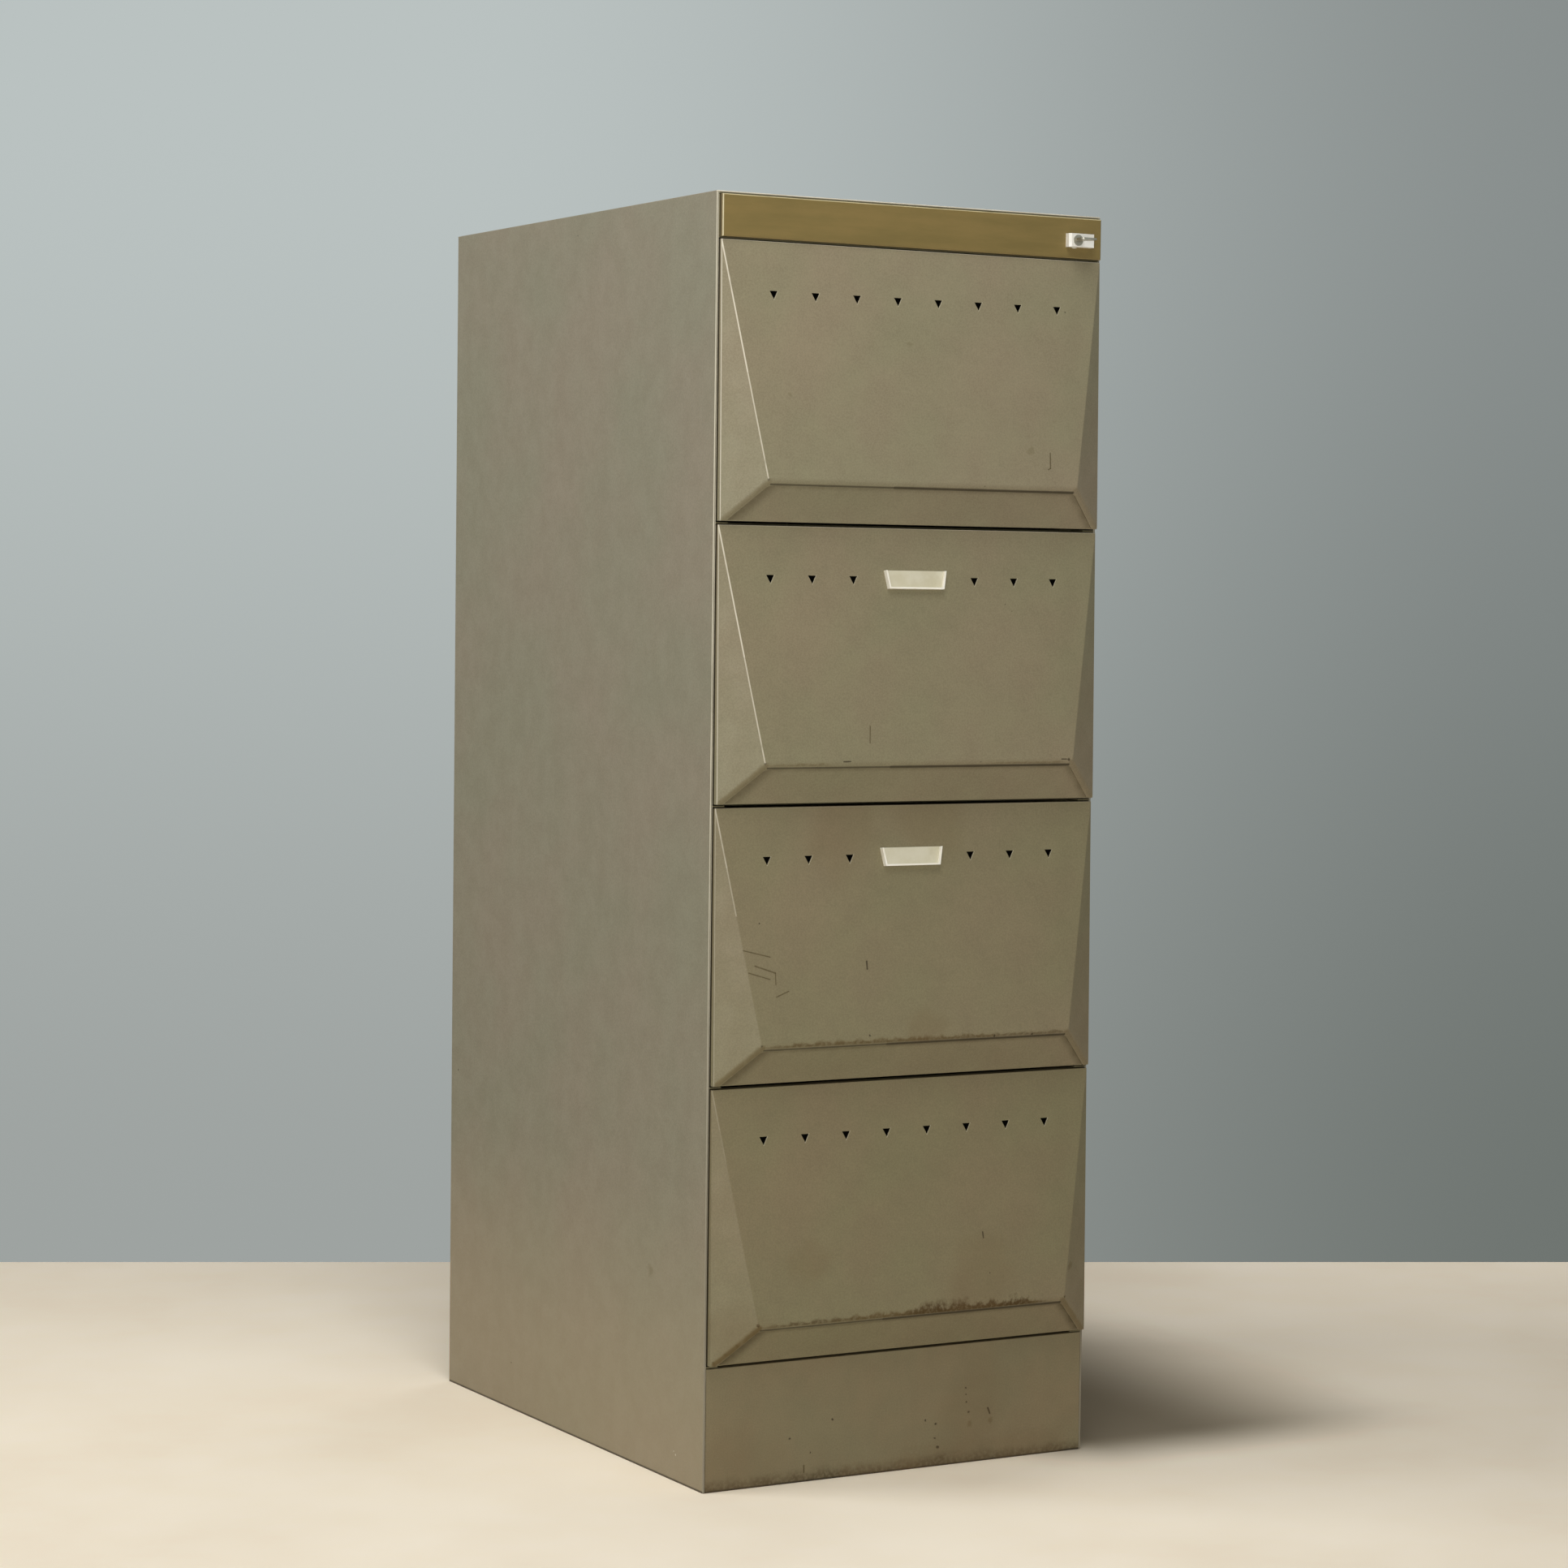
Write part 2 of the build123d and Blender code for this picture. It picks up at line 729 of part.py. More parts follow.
def lock_cam():
    """Crank on the plug's rear end; its pin works in the locking bar's slot."""
    pin_end = bar_y_span()[1] + cam_pin_clearance
    with BuildPart() as cam:
        with BuildSketch(facing_front(cam_rear)):
            with Locations((lock_x, lock_z)):
                Circle(cam_hub_radius)
            middle = ((lock_x + cam_pin_x) / 2, (lock_z + cam_pin_z) / 2)
            with Locations(middle):
                SlotCenterToCenter(cam_arm, cam_arm_wide, rotation=math.degrees(cam_swing))
        extrude(amount=cam_thick)
        with BuildSketch(facing_front(pin_end)):
            with Locations((cam_pin_x, cam_pin_z)):
                Circle(cam_pin_radius)
        extrude(amount=pin_end - cam_rear)
    return cam


def lock_key():
    """Flat key: blade in the plug, neck and rounded bow in front of it."""
    blade_half = keyway_wide / 2 - key_clearance
    blade_thick = keyway_tall / 2 - key_clearance
    blade_x = (lock_x - blade_half, lock_x + blade_half)
    blade_y = (plug_face - key_clearance, plug_face + keyway_depth - key_tip_gap)
    blade_z = (lock_z - blade_thick, lock_z + blade_thick)
    neck_y = plug_face - (key_neck + key_clearance) / 2
    bow_y = plug_face - key_neck - key_bow_long / 2
    with BuildPart() as key:
        block(blade_x, blade_y, blade_z)
        with BuildSketch(Plane.XY.offset(lock_z - key_bow_thick / 2)):
            with Locations((lock_x, neck_y)):
                Rectangle(key_neck_wide, key_neck - key_clearance)
            with Locations((lock_x, bow_y)):
                RectangleRounded(key_bow_wide, key_bow_long, key_bow_radius)
                Circle(key_hole_radius, mode=Mode.SUBTRACT)
        extrude(amount=key_bow_thick)
    return key


def bar_head_z():
    """The head's lower and upper edge, level with the cam pin."""
    return (cam_pin_z - bar_head_tall / 2, cam_pin_z + bar_head_tall / 2)


def locking_bar():
    """Strip in the right front post, up to the underside of its head."""
    with BuildPart() as bar:
        low = hook_tip(drawer_count) - bar_tail
        block(bar_x_span(), bar_y_span(), (low, bar_head_z()[0]))
    return bar


def bar_head():
    """Plate welded across the bar's top; the cam pin works in its slot."""
    slot = cam_pin_radius + cam_pin_clearance
    slot_x = (cam_pin_x - slot, lock_x + cam_arm + slot)
    with BuildPart() as head:
        block((slot_x[0] - bar_head_wall, bar_x_span()[1]), bar_y_span(), bar_head_z())
        block(slot_x, bar_y_span(), (cam_pin_z - slot, cam_pin_z + slot), Mode.SUBTRACT)
    return head


def bar_hooks():
    """One hook for each drawer on the locking bar's front face, turned down at its tip."""
    y_span = (post_front - hook_reach, bar_y_span()[0])
    finger_y = (y_span[0], y_span[0] + hook_thick)
    with BuildPart() as hooks:
        for drawer in range(1, drawer_count + 1):
            low, high = hook_arm(drawer)
            block(across_bar(hook_wide), y_span, (low, high))
            block(across_bar(hook_wide), finger_y, (hook_tip(drawer), high))
    return hooks


def bar_guides():
    """Brackets on the post's front leg that hold the locking bar at both sides and behind."""
    with BuildPart() as guides:
        for drawer in (1, drawer_count):
            low = front_bottom(drawer) + guide_rise
            z_span = (low, low + guide_tall)
            inner_x = widened(bar_x_span(), guide_gap)
            y_start = post_front + frame_sheet
            inner_end = bar_y_span()[1] + guide_gap
            block(widened(inner_x, guide_wall), (y_start, inner_end + guide_wall), z_span)
            block(inner_x, (y_start, inner_end), z_span, Mode.SUBTRACT)
    return guides


# ---------------------------------------------------------------- writing every piece

os.makedirs("parts", exist_ok=True)

left_side = side_panel()
write(left_side, "left_side_panel")
with BuildPart() as right_side:
    mirror(left_side.part, about=Plane.YZ)
write(right_side, "right_side_panel")
write(back_panel(), "back_panel")
write(top_panel(), "top_panel")
write(plinth(), "plinth_front")
write(floor_pan(), "floor_pan")

front_post = post(post_front, rail_bottom)
rear_post = post(rear_post_back - post_depth, side_top - 2 * sheet)
write(front_post, "left_front_post")
write(right_front_post(front_post), "right_front_post")
write(rear_post, "left_rear_post")
with BuildPart() as right_rear_post:
    mirror(rear_post.part, about=Plane.YZ)
write(right_rear_post, "right_rear_post")
write(top_rail(), "top_rail")
write(divider_rails(), "divider_rails")

write(fascia_band(), "fascia_band")
write(lock_housing(), "lock_housing")
write(lock_barrel(), "lock_barrel")
write(lock_nut(), "lock_nut")
write(lock_plug(), "lock_plug")
write(lock_cam(), "lock_cam")
write(lock_key(), "lock_key")
write(locking_bar(), "locking_bar")
write(bar_head(), "locking_bar_head")
write(bar_hooks(), "locking_bar_hooks")
write(bar_guides(), "locking_bar_guides")

slides = {
    "cabinet_slides_{}": (-post_x, cabinet_slide_open, cabinet_slide_length, cabinet_half),
    "middle_slides_{}": (middle_slide_wall, middle_slide_open, moving_slide_length, middle_half),
    "drawer_{}_slides": (-tray_x, drawer_slide_open, moving_slide_length, drawer_half),
}
for drawer in range(1, drawer_count + 1):
    for name, member in slides.items():
        slide_pair(name.format(drawer), *member, drawer)
    write(drawer_front(drawer), f"drawer_{drawer}_front")
    write(grip_plate(drawer), f"drawer_{drawer}_grip")
    write(inner_front(drawer), f"drawer_{drawer}_inner_front")
    write(tray(drawer), f"drawer_{drawer}_tray")
    write(catch(drawer), f"drawer_{drawer}_catch")

for drawer in labelled_drawers:
    write(label_holder(drawer), f"label_holder_{drawer}")
    write(label_card(drawer), f"label_card_{drawer}")
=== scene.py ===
import math
import bpy
from mathutils import Matrix, Vector


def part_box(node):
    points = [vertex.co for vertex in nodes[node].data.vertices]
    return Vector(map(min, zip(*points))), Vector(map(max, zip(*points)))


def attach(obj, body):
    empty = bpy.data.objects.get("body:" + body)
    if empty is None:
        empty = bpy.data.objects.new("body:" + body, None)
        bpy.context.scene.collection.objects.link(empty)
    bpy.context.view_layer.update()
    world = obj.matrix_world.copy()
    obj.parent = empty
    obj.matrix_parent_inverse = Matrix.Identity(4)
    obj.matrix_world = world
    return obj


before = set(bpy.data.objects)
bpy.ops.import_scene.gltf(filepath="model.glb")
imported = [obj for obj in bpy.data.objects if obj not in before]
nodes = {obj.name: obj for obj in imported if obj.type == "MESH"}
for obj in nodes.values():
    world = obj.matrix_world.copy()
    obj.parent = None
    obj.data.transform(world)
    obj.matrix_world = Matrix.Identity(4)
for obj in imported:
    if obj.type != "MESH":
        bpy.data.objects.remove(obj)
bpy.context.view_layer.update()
print("frame loaded:", len(nodes), "CAD nodes")

# places read off the CAD, in metres
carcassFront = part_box("left_side_panel")[0].y
halfWide = -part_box("left_side_panel")[0].x
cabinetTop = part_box("top_panel")[1].z
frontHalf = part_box("drawer_1_front")[1].x
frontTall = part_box("drawer_1_front")[1].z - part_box("drawer_1_front")[0].z
drawers = (1, 2, 3, 4)


def srgb(r, g, b):
    def lin(v):
        v = v / 255
        return v / 12.92 if v <= 0.04045 else ((v + 0.055) / 1.055) ** 2.4
    return (lin(r), lin(g), lin(b), 1.0)


def put(tree, kind, **values):
    node = tree.nodes.new(kind)
    for key, value in values.items():
        setattr(node, key, value)
    return node


# a socket takes another node's output or a plain value
def feed(tree, target, value):
    if hasattr(value, "node"):
        tree.links.new(value, target)
    else:
        target.default_value = value


def mathNode(tree, operation, a, b=None, c=None, clamp=False):
    node = put(tree, "ShaderNodeMath", operation=operation, use_clamp=clamp)
    for socket, value in zip(node.inputs, (a, b, c)):
        if value is not None:
            feed(tree, socket, value)
    return node.outputs[0]


def times(tree, first, *others):
    for other in others:
        first = mathNode(tree, "MULTIPLY", first, other)
    return first


# a times b, plus c
def timesPlus(tree, a, b, c):
    return mathNode(tree, "MULTIPLY_ADD", a, b, c)


def vecNode(tree, operation, a, b=None, scale=None):
    node = put(tree, "ShaderNodeVectorMath", operation=operation)
    feed(tree, node.inputs[0], a)
    if b is not None:
        feed(tree, node.inputs[1], b)
    if scale is not None:
        feed(tree, node.inputs["Scale"], scale)
    return node.outputs["Value"] if operation in ("DOT_PRODUCT", "LENGTH") else node.outputs[0]


def ramp(tree, value, low, high, toLow=0.0, toHigh=1.0):
    node = put(tree, "ShaderNodeMapRange", interpolation_type="SMOOTHSTEP")
    for socket, v in zip(node.inputs[:5], (value, low, high, toLow, toHigh)):
        feed(tree, socket, v)
    return node.outputs[0]


# from a level at the low end down to nothing at the high end
def fade(tree, value, low, high, level=1.0):
    return ramp(tree, value, low, high, level, 0.0)


def mixColor(tree, factor, a, b):
    node = put(tree, "ShaderNodeMix", data_type="RGBA")
    feed(tree, node.inputs[0], factor)
    feed(tree, node.inputs[6], a)
    feed(tree, node.inputs[7], b)
    return node.outputs[2]


def noiseAt(tree, vector, scale, detail=2.0, rough=0.5):
    node = put(tree, "ShaderNodeTexNoise")
    feed(tree, node.inputs["Vector"], vector)
    feed(tree, node.inputs["Scale"], scale)
    node.inputs["Detail"].default_value = detail
    node.inputs["Roughness"].default_value = rough
    return node.outputs["Fac"]


# noise by scale, detail and roughness: its span from low to high is spread over 0 to 1,
# or over the two levels that follow in the span
def clouds(tree, vector, noise, span=(0.3, 0.7)):
    return ramp(tree, noiseAt(tree, vector, *noise), *span)


def axisValues(tree, point):
    split = put(tree, "ShaderNodeSeparateXYZ")
    feed(tree, split.inputs[0], point)
    return split.outputs


def newGroup(name, inputs, outputs):
    group = bpy.data.node_groups.new(name, "ShaderNodeTree")
    for label, kind, value in inputs:
        socket = group.interface.new_socket(label, in_out="INPUT", socket_type=f"NodeSocket{kind}")
        if value is not None:
            socket.default_value = value
    for label in outputs:
        group.interface.new_socket(label, in_out="OUTPUT", socket_type="NodeSocketFloat")
    return group, put(group, "NodeGroupInput").outputs, put(group, "NodeGroupOutput").inputs


def useGroup(tree, group, **values):
    node = put(tree, "ShaderNodeGroup", node_tree=group)
    for label, value in values.items():
        feed(tree, node.inputs[label], value)
    return node.outputs


# a line between two points, broken up along its length
def makeWornLine():
    g, i, o = newGroup("wornLine", (
        ("Point", "Vector", None), ("Start", "Vector", None), ("End", "Vector", None),
        ("Width", "Float", 0.001), ("Ragged", "Float", 0.5), ("Gaps", "Float", 0.3),
        ("Grain", "Float", 180.0)), ("Mask",))
    along = vecNode(g, "SUBTRACT", i["End"], i["Start"])
    offset = vecNode(g, "SUBTRACT", i["Point"], i["Start"])
    reach = mathNode(g, "DIVIDE", vecNode(g, "DOT_PRODUCT", offset, along),
                     vecNode(g, "DOT_PRODUCT", along, along), clamp=True)
    nearest = vecNode(g, "SCALE", along, scale=reach)
    far = vecNode(g, "LENGTH", vecNode(g, "SUBTRACT", offset, nearest))
    coarse = noiseAt(g, i["Point"], i["Grain"], 3.0, 0.6)
    wobble = timesPlus(g, coarse, 2.0, -1.0)
    width = timesPlus(g, wobble, times(g, i["Width"], i["Ragged"]), i["Width"])
    core = fade(g, far, times(g, width, 0.35), width)
    breaks = noiseAt(g, i["Point"], times(g, i["Grain"], 0.37))
    level = timesPlus(g, i["Gaps"], 0.5, 0.2)
    kept = ramp(g, breaks, level, mathNode(g, "ADD", level, 0.12))
    feed(g, o["Mask"], times(g, core, kept))
    return g


# a spot with an uneven rim
def makeSpot():
    g, i, o = newGroup("paintSpot", (
        ("Point", "Vector", None), ("Centre", "Vector", None), ("Radius", "Float", 0.001),
        ("Ragged", "Float", 0.5)), ("Mask",))
    far = vecNode(g, "LENGTH", vecNode(g, "SUBTRACT", i["Point"], i["Centre"]))
    grain = mathNode(g, "DIVIDE", 0.9, i["Radius"])
    rim = mathNode(g, "SUBTRACT", noiseAt(g, i["Point"], grain), 0.5)
    push = times(g, i["Radius"], times(g, i["Ragged"], 3.0))
    pushed = timesPlus(g, rim, push, far)
    feed(g, o["Mask"], fade(g, pushed, times(g, i["Radius"], 0.35), i["Radius"]))
    return g


# grime that creeps up from a ridge, in lumps, between two places across
lumpLook = {
    "stretch": (1, 0, 0.7), "lumps": (75.0, 4.0, 0.6), "lumpSpan": (0.38, 0.64, 0.25, 1.0),
    "broken": (260.0, 3.0), "brokenSpan": (0.3, 0.6, 0.35, 1.0),
    "startSoft": 0.05, "endSoft": 0.015, "edgeSoft": 0.0006, "footSoft": 0.002,
}


def makeRidgeGrime():
    g, i, o = newGroup("ridgeGrime", (
        ("Point", "Vector", None), ("From", "Float", -0.1), ("To", "Float", 0.1),
        ("Foot", "Float", 0.04), ("Tall", "Float", 0.005)), ("Mask",))
    look = lumpLook
    axes = axisValues(g, i["Point"])
    stretched = vecNode(g, "MULTIPLY", i["Point"], look["stretch"])
    lumps = clouds(g, stretched, look["lumps"], look["lumpSpan"])
    enter = ramp(g, axes[0], i["From"], mathNode(g, "ADD", i["From"], look["startSoft"]))
    end = fade(g, axes[0], mathNode(g, "SUBTRACT", i["To"], look["endSoft"]), i["To"])
    inside = times(g, enter, end)
    reach = times(g, lumps, inside, i["Tall"])
    rise = mathNode(g, "SUBTRACT", axes[2], i["Foot"])
    upper = fade(g, rise, times(g, reach, 0.35), mathNode(g, "ADD", reach, look["edgeSoft"]))
    lower = ramp(g, rise, -look["footSoft"], 0.0)
    broken = clouds(g, i["Point"], look["broken"], look["brokenSpan"])
    feed(g, o["Mask"], times(g, upper, lower, broken, inside))
    return g


# slow tone change, small clouds, stray flecks and the peel of sprayed enamel
enamelNoise = {
    "patch": (3.0, 0.55),    # detail and roughness, the scale is the piece's own
    "cloud": (30.0, 5.0, 0.65), "grain": (600.0, 2.0, 0.6),
    "wave": (7.0, 1.0), "peel": (620.0, 2.0),
    "fleckCells": 42.0, "fleckLeast": 0.012, "fleckSpread": 0.035,
}


def makeEnamel():
    g, i, o = newGroup("enamelSurface", (
        ("Point", "Vector", None), ("PatchSize", "Float", 0.14), ("FleckShare", "Float", 0.04)),
        ("Patch", "Cloud", "Grain", "Fleck", "Wave", "Peel"))
    look = enamelNoise
    patchScale = mathNode(g, "DIVIDE", 1.0, i["PatchSize"])
    feed(g, o["Patch"], clouds(g, i["Point"], (patchScale, *look["patch"])))
    feed(g, o["Cloud"], clouds(g, i["Point"], look["cloud"]))
    feed(g, o["Grain"], clouds(g, i["Point"], look["grain"]))
    cells = put(g, "ShaderNodeTexVoronoi")
    feed(g, cells.inputs["Vector"], i["Point"])
    cells.inputs["Scale"].default_value = look["fleckCells"]
    split = put(g, "ShaderNodeSeparateColor")
    feed(g, split.inputs[0], cells.outputs["Color"])
    rare = mathNode(g, "GREATER_THAN", split.outputs[0], mathNode(g, "SUBTRACT", 1.0, i["FleckShare"]))
    size = timesPlus(g, split.outputs[1], look["fleckSpread"], look["fleckLeast"])
    dot = fade(g, cells.outputs["Distance"], times(g, size, 0.5), size)
    feed(g, o["Fleck"], times(g, dot, rare))
    feed(g, o["Wave"], noiseAt(g, i["Point"], *look["wave"]))
    feed(g, o["Peel"], noiseAt(g, i["Point"], *look["peel"]))
    return g


# even plated steel: crystal tone, streaks along one way and dull spots
plateNoise = {
    "crystal": (90.0, 4.0, 0.6), "streak": (900.0, 3.0),
    "dull": (22.0, 3.0, 0.6), "dullSpan": (0.5, 0.72),
}


def makePlate():
    g, i, o = newGroup("platedSteel", (
        ("Point", "Vector", None), ("Grain", "Vector", (1.0, 1.0, 1.0))), ("Tone", "Streak", "Dull"))
    feed(g, o["Tone"], clouds(g, i["Point"], plateNoise["crystal"]))
    pulled = vecNode(g, "MULTIPLY", i["Point"], i["Grain"])
    feed(g, o["Streak"], noiseAt(g, pulled, *plateNoise["streak"]))
    feed(g, o["Dull"], clouds(g, i["Point"], plateNoise["dull"], plateNoise["dullSpan"]))
    return g


wornLine = makeWornLine()
paintSpot = makeSpot()
ridgeGrime = makeRidgeGrime()
enamelSurface = makeEnamel()
platedSteel = makePlate()
print("effect groups built")


# an empty material with its shader, and the surface point with its origin moved to a place
def startMaterial(name, origin=(0, 0, 0)):
    material = bpy.data.materials.new(name)
    material.use_nodes = True
    tree = material.node_tree
    tree.nodes.clear()
    output = put(tree, "ShaderNodeOutputMaterial")
    shader = put(tree, "ShaderNodeBsdfPrincipled")
    tree.links.new(shader.outputs[0], output.inputs["Surface"])
    coords = put(tree, "ShaderNodeTexCoord")
    shift = put(tree, "ShaderNodeMapping")
    shift.inputs["Location"].default_value = [-v for v in origin]
    tree.links.new(coords.outputs["Object"], shift.inputs["Vector"])
    return material, tree, shader, shift.outputs[0]


# color, roughness and a height in mm
def finishSurface(tree, shader, color, rough, height, specular=0.5):
    feed(tree, shader.inputs["Base Color"], color)
    feed(tree, shader.inputs["Roughness"], rough)
    shader.inputs["Specular IOR Level"].default_value = specular
    bump = put(tree, "ShaderNodeBump")
    bump.inputs["Distance"].default_value = 0.001
    feed(tree, bump.inputs["Height"], height)
    tree.links.new(bump.outputs[0], shader.inputs["Normal"])


# under its mask a stain takes the color to its tone and adds to the roughness
def stain(tree, color, rough, mask, tone, dulls):
    return mixColor(tree, mask, color, tone), timesPlus(tree, mask, dulls, rough)


# what all enamel shares: each painted piece adds its warm and its cool tone
enamelLook = {
    "roughness": 0.5,
    "specular": 0.3,
    "patchSize": 0.14,     # m, of the slow change between the two tones
    "fleck": srgb(74, 62, 42),
    "fleckShare": 0.04,    # share of the cells that hold a fleck
    "fleckStrength": 0.6,
    "cloud": 0.09,         # share of the fleck tone in small clouds
    "grain": 0.17,         # and in the grain
    "cloudDulls": 0.1,
    "waveHeight": 0.35,    # mm
    "peelHeight": 0.012,   # mm
}


# base coat: color, roughness and height that each piece's own marks, painted light and shade then work on
def enamelCoat(tree, point, look):
    coat = useGroup(tree, enamelSurface, Point=point, PatchSize=look["patchSize"],
                    FleckShare=look["fleckShare"])
    toned = mixColor(tree, coat["Patch"], look["cool"], look["warm"])
    dark = timesPlus(tree, coat["Cloud"], look["cloud"], times(tree, coat["Grain"], look["grain"]))
    clouded = mixColor(tree, dark, toned, look["fleck"])
    flecked = times(tree, coat["Fleck"], look["fleckStrength"])
    color = mixColor(tree, flecked, clouded, look["fleck"])
    evenRough = look["roughness"] - look["cloudDulls"] / 2
    rough = timesPlus(tree, coat["Cloud"], look["cloudDulls"], evenRough)
    height = timesPlus(tree, coat["Wave"], look["waveHeight"],
                       times(tree, coat["Peel"], look["peelHeight"]))
    return color, rough, height


# enamel with the marks of one kind of piece over its base coat, and on some pieces painted light and shade
def makePaint(name, look, origin=(0, 0, 0), wearAndLight=None):
    material, tree, shader, point = startMaterial(name, origin)
    coat = enamelCoat(tree, point, look)
    if wearAndLight:
        coat = wearAndLight(tree, point, look, *coat)
    finishSurface(tree, shader, *coat, look["specular"])
    return material


markTones = {
    "scratch": srgb(88, 76, 50),
    "chip": srgb(56, 46, 30),
    "rust": srgb(80, 63, 36),
    "brown": srgb(102, 86, 54),
    "smudge": srgb(120, 110, 82),
    "haze": srgb(110, 88, 58),
    "pale": srgb(222, 214, 194),
    # a dark tone used only for painted shade: in gaps, under the pull lip, at the foot of panels and on
    # the band's ends
    "seam": srgb(58, 50, 34),
}
softMarks = {"smudge": {"strength": 0.5}, "brown": {"strength": 0.5}, "haze": {"strength": 0.22}}
plainMark = {"strength": 0.9, "ragged": 0.5, "gaps": 0.3, "grain": 180.0, "dulls": 0.2, "sinks": 0.0}


# lays marks over a coat: a mark has one place as a spot or two as a line, and sinks by some mm
def layMarks(tree, color, rough, height, marks):
    for mark in marks:
        mark = {**plainMark, **mark}
        start, *end = mark["places"]
        shared = {"Point": mark["point"], "Ragged": mark["ragged"]}
        if end:
            shape = useGroup(tree, wornLine, Start=start, End=end[0], Width=mark["width"],
                             Gaps=mark["gaps"], Grain=mark["grain"], **shared)
        else:
            shape = useGroup(tree, paintSpot, Centre=start, Radius=mark["width"], **shared)
        mask = times(tree, shape["Mask"], mark["strength"])
        color, rough = stain(tree, color, rough, mask, mark["tone"], mark["dulls"])
        if mark["sinks"]:
            height = timesPlus(tree, mask, -mark["sinks"], height)
    return color, rough, height


# marks on a flat face from a look's rows: kind, a spot's place or a line's two, width
def rowMarks(look, point, onSide=False):
    marks = []
    for kind, *places, width in look["marks"]:
        spread = [(0, u, v) if onSide else (u, 0, v) for u, v in places]
        traits = {**look["anyMark"], **look["kinds"].get(kind, {})}
        marks.append({"point": point, "tone": markTones[kind], "width": width, "places": spread, **traits})
    return marks


# drawer fronts: places are measured from the middle of a front's bottom edge,
# x across, out in front of the carcass, rise above that edge
frontCreases = {
    "corner": (frontHalf, -0.0045, frontTall),
    "ridge": (0.1858, -0.0318, 0.0414),
    "foot": (frontHalf, -0.0077, 0.0),
}
# grip: grime and painted shade at the left end, the right end and along the top of the recess
# grime: from, to, how tall, tone, strength
frontWear = {
    1: {"warm": srgb(149, 137, 112), "cool": srgb(144, 138, 110),
        "crease": 0.95, "creaseShare": 1.0, "edge": 0.8, "mitre": 0.25, "grip": (0.62, 0.40, 0.35),
        "grime": (),
        "marks": (
            ("scratch", (0.154, 0.078), (0.1535, 0.062), 0.0011),
            ("scratch", (0.1535, 0.062), (0.1505, 0.0605), 0.0009),
            ("smudge", (0.130, 0.080), 0.006),
            ("chip", (0.181, 0.227), 0.0011),
            ("smudge", (-0.012, 0.185), 0.004),
            ("smudge", (-0.157, 0.128), 0.003))},
    2: {"warm": srgb(145, 133, 107), "cool": srgb(140, 134, 105),
        "crease": 0.9, "creaseShare": 1.0, "edge": 0.65, "mitre": 0.35, "grip": (0.62, 0.40, 0.40),
        "grime": (
            (-0.200, -0.105, 0.0030, "brown", 0.5),
            (0.060, 0.182, 0.0016, "brown", 0.5)),
        "marks": (
            ("scratch", (-0.061, 0.079), (-0.062, 0.062), 0.0009),
            ("chip", (-0.094, 0.043), (-0.086, 0.0432), 0.0010),
            ("chip", (0.181, 0.0425), 0.0022),
            ("chip", (0.172, 0.0430), (0.178, 0.0430), 0.0009),
            ("chip", (0.110, 0.205), 0.0008),
            ("chip", (0.118, 0.198), 0.0007))},
    3: {"warm": srgb(139, 127, 100), "cool": srgb(135, 128, 98),
        "crease": 0.4, "creaseShare": 0.45, "edge": 0.25, "mitre": 0.5, "grip": (0.72, 0.50, 0.50),
        "grime": (
            (-0.200, 0.190, 0.0042, "rust", 0.6),
            (-0.190, 0.100, 0.0065, "brown", 0.6)),
        "marks": (
            ("haze", (0.023, 0.268), 0.060),
            ("haze", (-0.085, 0.262), 0.065),
            ("haze", (0.011, 0.052), 0.030),
            ("scratch", (-0.2026, 0.1386), (-0.172, 0.1311), 0.0009),
            ("scratch", (-0.1898, 0.1226), (-0.1666, 0.1148), 0.0011),
            ("scratch", (-0.1666, 0.1148), (-0.1666, 0.1029), 0.0009),
            ("scratch", (-0.1975, 0.1159), (-0.1732, 0.1086), 0.0009),
            ("scratch", (-0.1666, 0.0905), (-0.152, 0.0959), 0.0009),
            ("chip", (-0.0585, 0.1227), (-0.0582, 0.1150), 0.0014),
            ("chip", (-0.0586, 0.0469), 0.0016),
            ("chip", (-0.1827, 0.1654), 0.0012),
            ("chip", (0.0938, 0.0395), 0.0017),
            ("chip", (0.1405, 0.0395), 0.0017))},
    4: {"warm": srgb(136, 123, 95), "cool": srgb(132, 125, 94),
        "crease": 0.1, "creaseShare": 0.3, "edge": 0.0, "mitre": 0.9, "grip": (0.88, 0.64, 0.62),
        "grime": (
            (-0.200, 0.170, 0.0055, "rust", 0.75),
            (-0.110, 0.160, 0.0080, "brown", 0.8),
            (-0.030, 0.152, 0.0150, "rust", 1.0)),
        "marks": (
            ("rust", (-0.186, 0.0425), 0.0024),
            ("rust", (0.187, 0.043), 0.0018),
            ("chip", (0.088, 0.112), (0.0875, 0.118), 0.0012),
            ("chip", (0.094, 0.075), 0.0010),
            ("haze", (-0.121, 0.098), 0.030),
            ("brown", (0.197, 0.074), 0.006),
            ("haze", (-0.200, 0.025), 0.045),
            ("haze", (0.080, 0.060), 0.060),
            ("rust", (-0.2045, 0.0216), 0.0020),
            ("rust", (-0.214, 0.0125), 0.0018),
            ("rust", (-0.225, 0.0035), 0.0022))},
}
frontLook = {
    "anyMark": {"strength": 0.85, "gaps": 0.15, "grain": 260.0},
    "kinds": {**softMarks, "chip": {"sinks": 0.04}, "rust": {"sinks": 0.04, "ragged": 0.9}},
    "grimeBelowRidge": 0.0015, "grimeDulls": 0.25,
}
